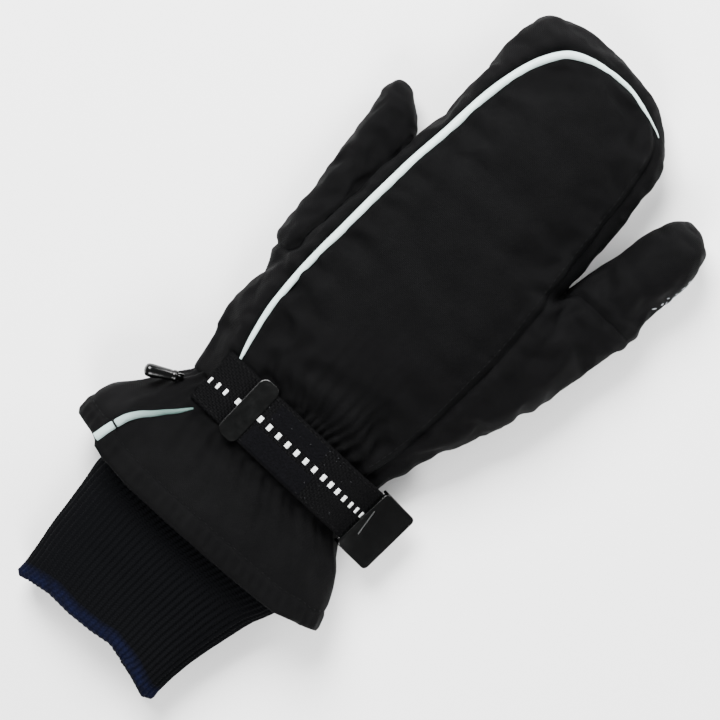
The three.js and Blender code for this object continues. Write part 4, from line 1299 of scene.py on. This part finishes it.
NAP = {"from": -16.5 * MM, "to": 15.5 * MM, "height": 0.16 * MM, "inner": 2.2 * MM}
UP = Vector((0, 0, 1))
nap_mesh = bmesh.new()
for side in (-1, 1):
    span = STRAP_WIDTH / 2 - NAP["inner"] - 0.8 * MM
    strip = bmesh.new()
    bmesh.ops.create_grid(strip, x_segments=130, y_segments=40, size=1)
    for corner in strip.verts:
        x = NAP["from"] + (corner.co.x + 1) / 2 * (NAP["to"] - NAP["from"])
        across_share = (corner.co.y + 1) / 2
        y = side * (NAP["inner"] + across_share * span)
        rim = min(corner.co.x + 1, 1 - corner.co.x, 2.4 * across_share, 2.4 * (1 - across_share))
        spot = Vector((x, y, 0))
        fuzz = noise.noise(spot / (0.9 * MM)) + noise.noise((spot + UP * 9) / (0.5 * MM))
        z = under_strap(x) + 2 * STRAP_THICK + LAYER_GAP - 0.12 * MM
        ragged = 0.5 + 0.5 * noise.noise(Vector((x, y, 4 * MM)) / (1.6 * MM))
        full = min(max(rim * 6 - 0.6 * ragged, 0), 1)
        corner.co = (x, y, z + full * (NAP["height"] + 0.14 * MM * fuzz) - 0.25 * MM * (1 - full))
    bmesh.ops.recalc_face_normals(strip, faces=strip.faces)
    join_into(nap_mesh, strip)
give_wall(add_piece("loop_nap", nap_mesh, nap, at=strap_place), 0.3 * MM)

FLUFF = {"count": 30, "from": -24, "to": 32, "side": 11.2, "inner": 2.4}  # in mm
chance = np.random.default_rng(3)
fluff = bmesh.new()
for _ in range(FLUFF["count"]):
    x = chance.uniform(FLUFF["from"], FLUFF["to"]) * MM
    y = chance.uniform(FLUFF["inner"], FLUFF["side"]) * chance.choice([-1, 1]) * MM
    z = under_strap(x) + 2 * STRAP_THICK + LAYER_GAP + 0.06 * MM
    turn = Matrix.Rotation(chance.uniform(0, math.pi), 4, "Z")
    size = Matrix.Diagonal((chance.uniform(0.15, 0.5) * MM, 0.1 * MM, 0.08 * MM, 1))
    place = strap_place @ Matrix.Translation((x, y, z)) @ turn @ size
    bmesh.ops.create_icosphere(fluff, subdivisions=1, radius=1, matrix=place)
add_piece("strap_fluff", fluff, fluff_finish)

TAB = {"from": -27.0 * MM, "to": -17.4 * MM, "width": 29.6 * MM, "high": 2.0 * MM}
tab_x = (TAB["from"] + TAB["to"]) / 2
tab_z = under_strap(tab_x) + 1.5 * STRAP_THICK + LAYER_GAP + 0.15 * MM
rise = (under_strap(TAB["to"]) - under_strap(TAB["from"])) / (TAB["to"] - TAB["from"])
tab = plate_with_corners(TAB["to"] - TAB["from"], TAB["width"], TAB["high"], 3.6 * MM, 8)
rims = [e for e in tab.edges if abs(e.verts[0].co.z - e.verts[1].co.z) < 0.01 * MM]
rounded(tab, rims, 0.4 * MM, 3)
tilt = Matrix.Rotation(-math.atan(rise), 4, "Y")
tab_place = strap_place @ Matrix.Translation((tab_x, 0, tab_z)) @ tilt
add_piece("strap_end_tab", tab, moulded, smooth=False, at=tab_place)

# %% [markdown]
# ## The buckle
# A moulded plate with round corners, over two cheeks that hold the bar. Towards the strap its top
# falls away in two slanting facets, and a fine polished ridge across them catches the light. The
# plate starts as a box. Its upright edges are beveled into corners, two plane cuts give the
# facets, and a small bevel rounds every sharp edge.

# %% The buckle
BUCKLE = {"inner": 5.2 * MM, "outer": 13.7 * MM, "width": 29.4 * MM, "thick": 2.2 * MM}
UNDER = 3.6 * MM
BUCKLE_TURN = math.radians(-2.3)
FACETS = [  # a point on the line and its direction, in mm from the bar, and the fall beyond it
    ((0.97, 0.3), (-0.064, 1.0), 0.06),
    ((-3.57, 2.9), (-0.289, 1.0), 0.05),
]
RIDGE = {"from": (-3.7, 5.5), "to": (-1.4, -5.8), "wide": 0.42 * MM, "high": 0.5 * MM}
length = BUCKLE["inner"] + BUCKLE["outer"]
middle_x = (BUCKLE["outer"] - BUCKLE["inner"]) / 2
plate = plate_with_corners(length, BUCKLE["width"], BUCKLE["thick"], 2.2 * MM, 6)
for (x, y), (run_x, run_y), fall in FACETS:
    on_line = Vector((x * MM - middle_x, y * MM, 0))
    aside = Vector((run_y, -run_x, 0)).normalized()
    geometry = plate.verts[:] + plate.edges[:] + plate.faces[:]
    bmesh.ops.bisect_plane(plate, geom=geometry, plane_co=on_line, plane_no=aside, dist=0.01 * MM)
    for corner in plate.verts:
        beyond_line = -(corner.co - on_line).dot(aside)
        if corner.co.z > 0 and beyond_line > 0:
            corner.co.z = max(corner.co.z - fall * beyond_line, -0.1 * MM)
sharp = [e for e in plate.edges if e.calc_face_angle(0) > math.radians(30)]
rounded(plate, sharp, 0.45 * MM, 3)
shift = Matrix.Translation((middle_x, 0, UNDER + BUCKLE["thick"] / 2))
bmesh.ops.transform(plate, matrix=shift, verts=plate.verts)
ends = [Vector((*RIDGE[key], 0)) * MM for key in ("from", "to")]
along_ridge = ends[1] - ends[0]
middle = (ends[0] + ends[1]) / 2 + Vector((0, 0, UNDER + BUCKLE["thick"] - 0.05 * MM))
heading = Matrix.Rotation(math.atan2(along_ridge.y, along_ridge.x), 4, "Z")
sizes = (along_ridge.length, RIDGE["wide"], RIDGE["high"])
ridge = soft_block(Matrix.Translation(middle) @ heading, sizes, 0.18 * MM, 4)
for side in (-1, 1):
    place = Matrix.Translation((1.6 * MM, side * (BUCKLE["width"] - 1.45 * MM) / 2, 0.9 * MM))
    join_into(plate, soft_block(place, (8.5 * MM, 1.4 * MM, 6.0 * MM), 0.5 * MM, 3))
bar = bmesh.new()
bmesh.ops.create_cone(
    bar,
    cap_ends=True,
    segments=24,
    radius1=1.1 * MM,
    radius2=1.1 * MM,
    depth=BUCKLE["width"] - 1.5 * MM,
    matrix=Matrix.Rotation(math.pi / 2, 4, "X"),
)
join_into(plate, bar)
buckle_place = (
    strap_place
    @ Matrix.Translation(BAR - Vector((0, 0.4 * MM, 0)))
    @ Matrix.Rotation(BUCKLE_TURN, 4, "Z")
    @ Matrix.Rotation(BUCKLE_SLOPE, 4, "Y")
)
add_piece("buckle_plate", plate, moulded, ["strap_buckle"], at=buckle_place)
add_piece("buckle_ridge", ridge, polished, at=buckle_place)

# %% [markdown]
# ## The toggle
# A small turned barrel on a short neck that comes out of the wrist seam. It is round, so its
# profile is spun about its axis.

# %% The toggle
TOGGLE_PROFILE = [  # radius and place along its axis, in mm
    (0.0, 0.0), (1.5, 0.0), (1.5, 2.2), (1.7, 2.5), (2.1, 2.6), (2.35, 2.9), (2.45, 3.4),
    (2.4, 4.0), (2.2, 4.4), (2.15, 4.8), (2.3, 5.3), (2.5, 8.6), (2.85, 13.2), (2.8, 14.5),
    (2.4, 15.4), (1.7, 15.9), (0.9, 16.2), (0.0, 16.25),
]
SEAT = Vector((-51.4, -68.4, 23.4)) * MM
HEADING, RISE = math.radians(208), math.radians(12)
axis = Vector(
    (math.cos(HEADING) * math.cos(RISE), math.sin(HEADING) * math.cos(RISE), math.sin(RISE))
)
toggle = bmesh.new()
chain = [toggle.verts.new((r * MM, 0, z * MM)) for r, z in TOGGLE_PROFILE]
for a, b in zip(chain, chain[1:]):
    toggle.edges.new((a, b))
bmesh.ops.spin(
    toggle,
    geom=toggle.verts[:] + toggle.edges[:],
    cent=(0, 0, 0),
    axis=(0, 0, 1),
    angle=2 * math.pi,
    steps=40,
    use_merge=True,
    use_duplicate=False,
)
bmesh.ops.remove_doubles(toggle, verts=toggle.verts, dist=0.002 * MM)
bmesh.ops.recalc_face_normals(toggle, faces=toggle.faces)
stand = Matrix.Translation(SEAT) @ UP.rotation_difference(axis).to_matrix().to_4x4()
add_piece("toggle_barrel", toggle, moulded, ["side_toggle"], at=stand)

# %% [markdown]
# ## Stitching
# Thread runs along the gauntlet's hem, down both edges of the strap and beside the plain seam of
# the back panel. Each stitch is a small stretched sphere that lies on the cloth, and all of one
# colour are joined into one mesh.


# %% Stitching
STITCH = {"length": 2.3 * MM, "pitch": 3.1 * MM, "thick": 0.5 * MM}


def add_stitch(target, place, along, out_way, thick=STITCH["thick"]):
    place = Vector((place.x, place.y, max(place.z, TABLE_GAP + thick / 2)))
    size = Matrix.Diagonal((STITCH["length"] / 2, thick / 2, thick / 2, 1))
    matrix = laid(place, along, out_way) @ size
    bmesh.ops.create_icosphere(target, subdivisions=1, radius=1, matrix=matrix)


def sew(target, line, ups):
    run = run_along(line)
    for at in np.arange(STITCH["pitch"] / 2, run[-1], STITCH["pitch"]):
        before, place, after = [Vector(at_run(at + d, run, line)) for d in (-MM, 0, MM)]
        up = Vector(at_run(at, run, ups)).normalized()
        add_stitch(target, place, (after - before).normalized(), up)


thread = bmesh.new()
columns = np.arange(0, GAUNTLET["around"] + 1) % GAUNTLET["around"]
normal = grid_normals(gauntlet_points)
hem_line, hem_up = [], []
for i in columns:
    at = gauntlet_run[i, -1] - HEM_BAND
    hem_line.append(at_run(at, gauntlet_run[i], gauntlet_points[i]))
    hem_up.append(at_run(at, gauntlet_run[i], normal[i]))
hem_line, hem_up = np.array(hem_line), np.array(hem_up)
sew(thread, hem_line + hem_up * 0.12 * MM, hem_up)

crossing, crossing_up = [
    Vector(at_run(HEM_BAND, short_run, part)) for part in (short_path, short_up)
]
lead = Vector(short_path[40] - short_path[20]).normalized()
aside = crossing_up.cross(lead)
for share, high in ((-1, 1.2), (0, 1.65), (1, 1.2)):
    place = crossing + crossing_up * high * MM + aside * share * MM
    add_stitch(thread, place, aside, crossing_up, 1.05 * MM)

for side in (-1, 1):
    edge_y = side * (STRAP_WIDTH / 2 - 1.5 * MM)
    for band, runs in ((upper_line, upper_run), (lower_line[:17], lower_run[:17])):
        shifted = band + np.array([0, edge_y, FACE])
        sew(thread, moved_by(strap_place, shifted), np.tile([0.0, 0.0, 1.0], (len(band), 1)))

RIGHT_SEAM = [  # share of the length from the strap, share of the width from the middle
    (0.07, 0.387), (0.118, 0.42), (0.196, 0.454), (0.275, 0.473), (0.392, 0.493), (0.471, 0.493),
    (0.588, 0.473), (0.667, 0.463), (0.784, 0.449), (0.824, 0.439), (0.863, 0.429), (0.89, 0.414),
]
SEWN_BESIDE = 2.6 * MM
plan = smooth_line(on_hand(RIGHT_SEAM, SEWN_BESIDE), 160)
sew(thread, *felt_from_view(skin_tree, plan, 1))
add_piece("stitching", thread, dark_thread)

# %% [markdown]
# ## Grip print
# A patch of raised silver dashes is printed on the outer side of the little finger, where a rein
# runs. Only the dashes that reach over the edge show from above. They are felt onto the finger
# from its side.

# %% Grip print
PRINT = {"from": 79 * MM, "to": 100 * MM, "columns": 6}
PRINT_ROWS = [5.0, 9.0, 13.0, 16.5, 19.0]  # heights in mm
dashes = bmesh.new()
for row, high in enumerate(PRINT_ROWS):
    for column in range(PRINT["columns"]):
        step = (PRINT["to"] - PRINT["from"]) / PRINT["columns"]
        y = PRINT["from"] + (column + 0.5 * (row % 2)) * step
        worn = noise.noise(Vector((y, high * MM, 0)) / (5 * MM))
        z = high * MM + 0.8 * MM * worn
        place, out_way = skin_tree.ray_cast(Vector((0.12, y, z)), Vector((-1, 0, 0)))[:2]
        along = Vector((0, 1, 0.7 if row % 2 else -0.7))
        size = Matrix.Diagonal(((1.0 + worn) * MM, 0.36 * MM, 0.2 * MM, 1))
        matrix = laid(place, along, out_way) @ size
        bmesh.ops.create_uvsphere(dashes, u_segments=10, v_segments=6, radius=1, matrix=matrix)
add_piece("grip_print", dashes, grip_silver)

# %% [markdown]
# ## Floor, light and camera
# The photograph looks straight down on the mitt, turned by 41 degrees. A pale floor, a large soft
# light from the upper left, a weaker one from the right and a low one from behind bring out the
# folds of the black cloth.

# %% Floor, light and camera
floor_mesh = bmesh.new()
bmesh.ops.create_grid(floor_mesh, x_segments=1, y_segments=1, size=2.5)
floor_data = mesh_of(floor_mesh, "floor")
floor_data.materials.append(finish_of("floor", (0.9, 0.9, 0.9), 0.8))
floor = placed("floor", floor_data)
floor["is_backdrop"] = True


def soft_light(name, place, size, power, target=(0, 0, 0.02)):
    data = bpy.data.lights.new(name, "AREA")
    data.shape = "RECTANGLE"
    data.size, data.size_y = size
    data.energy = power
    light = placed(name, data)
    light.location = place
    way = Vector(target) - Vector(place)
    light.rotation_euler = way.to_track_quat("-Z", "Y").to_euler()
    light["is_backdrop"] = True


soft_light("key", (-0.95, 0.6, 1.15), (0.9, 0.9), 110)
soft_light("fill", (0.7, -1.2, 1.1), (0.8, 0.8), 50)
soft_light("back", (0.4, 1.5, 0.7), (1.4, 0.4), 50)
world = bpy.data.worlds.new("studio")
world.use_nodes = True
background = world.node_tree.nodes["Background"].inputs
background["Color"].default_value = (1, 1, 1, 1)
background["Strength"].default_value = 0.35
bpy.context.scene.world = world

camera_data = bpy.data.cameras.new("camera")
camera_data.lens = LENS
camera_data.sensor_width = SENSOR
camera = placed("camera", camera_data)
camera.location = EYE
camera.rotation_euler = (0, 0, math.radians(41))
bpy.context.scene.camera = camera

# %% [markdown]
# ## Size
# The dressed mitt has to keep the measured size. Both boxes are written down for comparison.

# %% Size
bpy.context.view_layer.update()
visual_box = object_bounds()
for label, box in (("measured", cad_box), ("dressed", visual_box)):
    print(label, [[round(v / MM, 1) for v in corner] for corner in box])
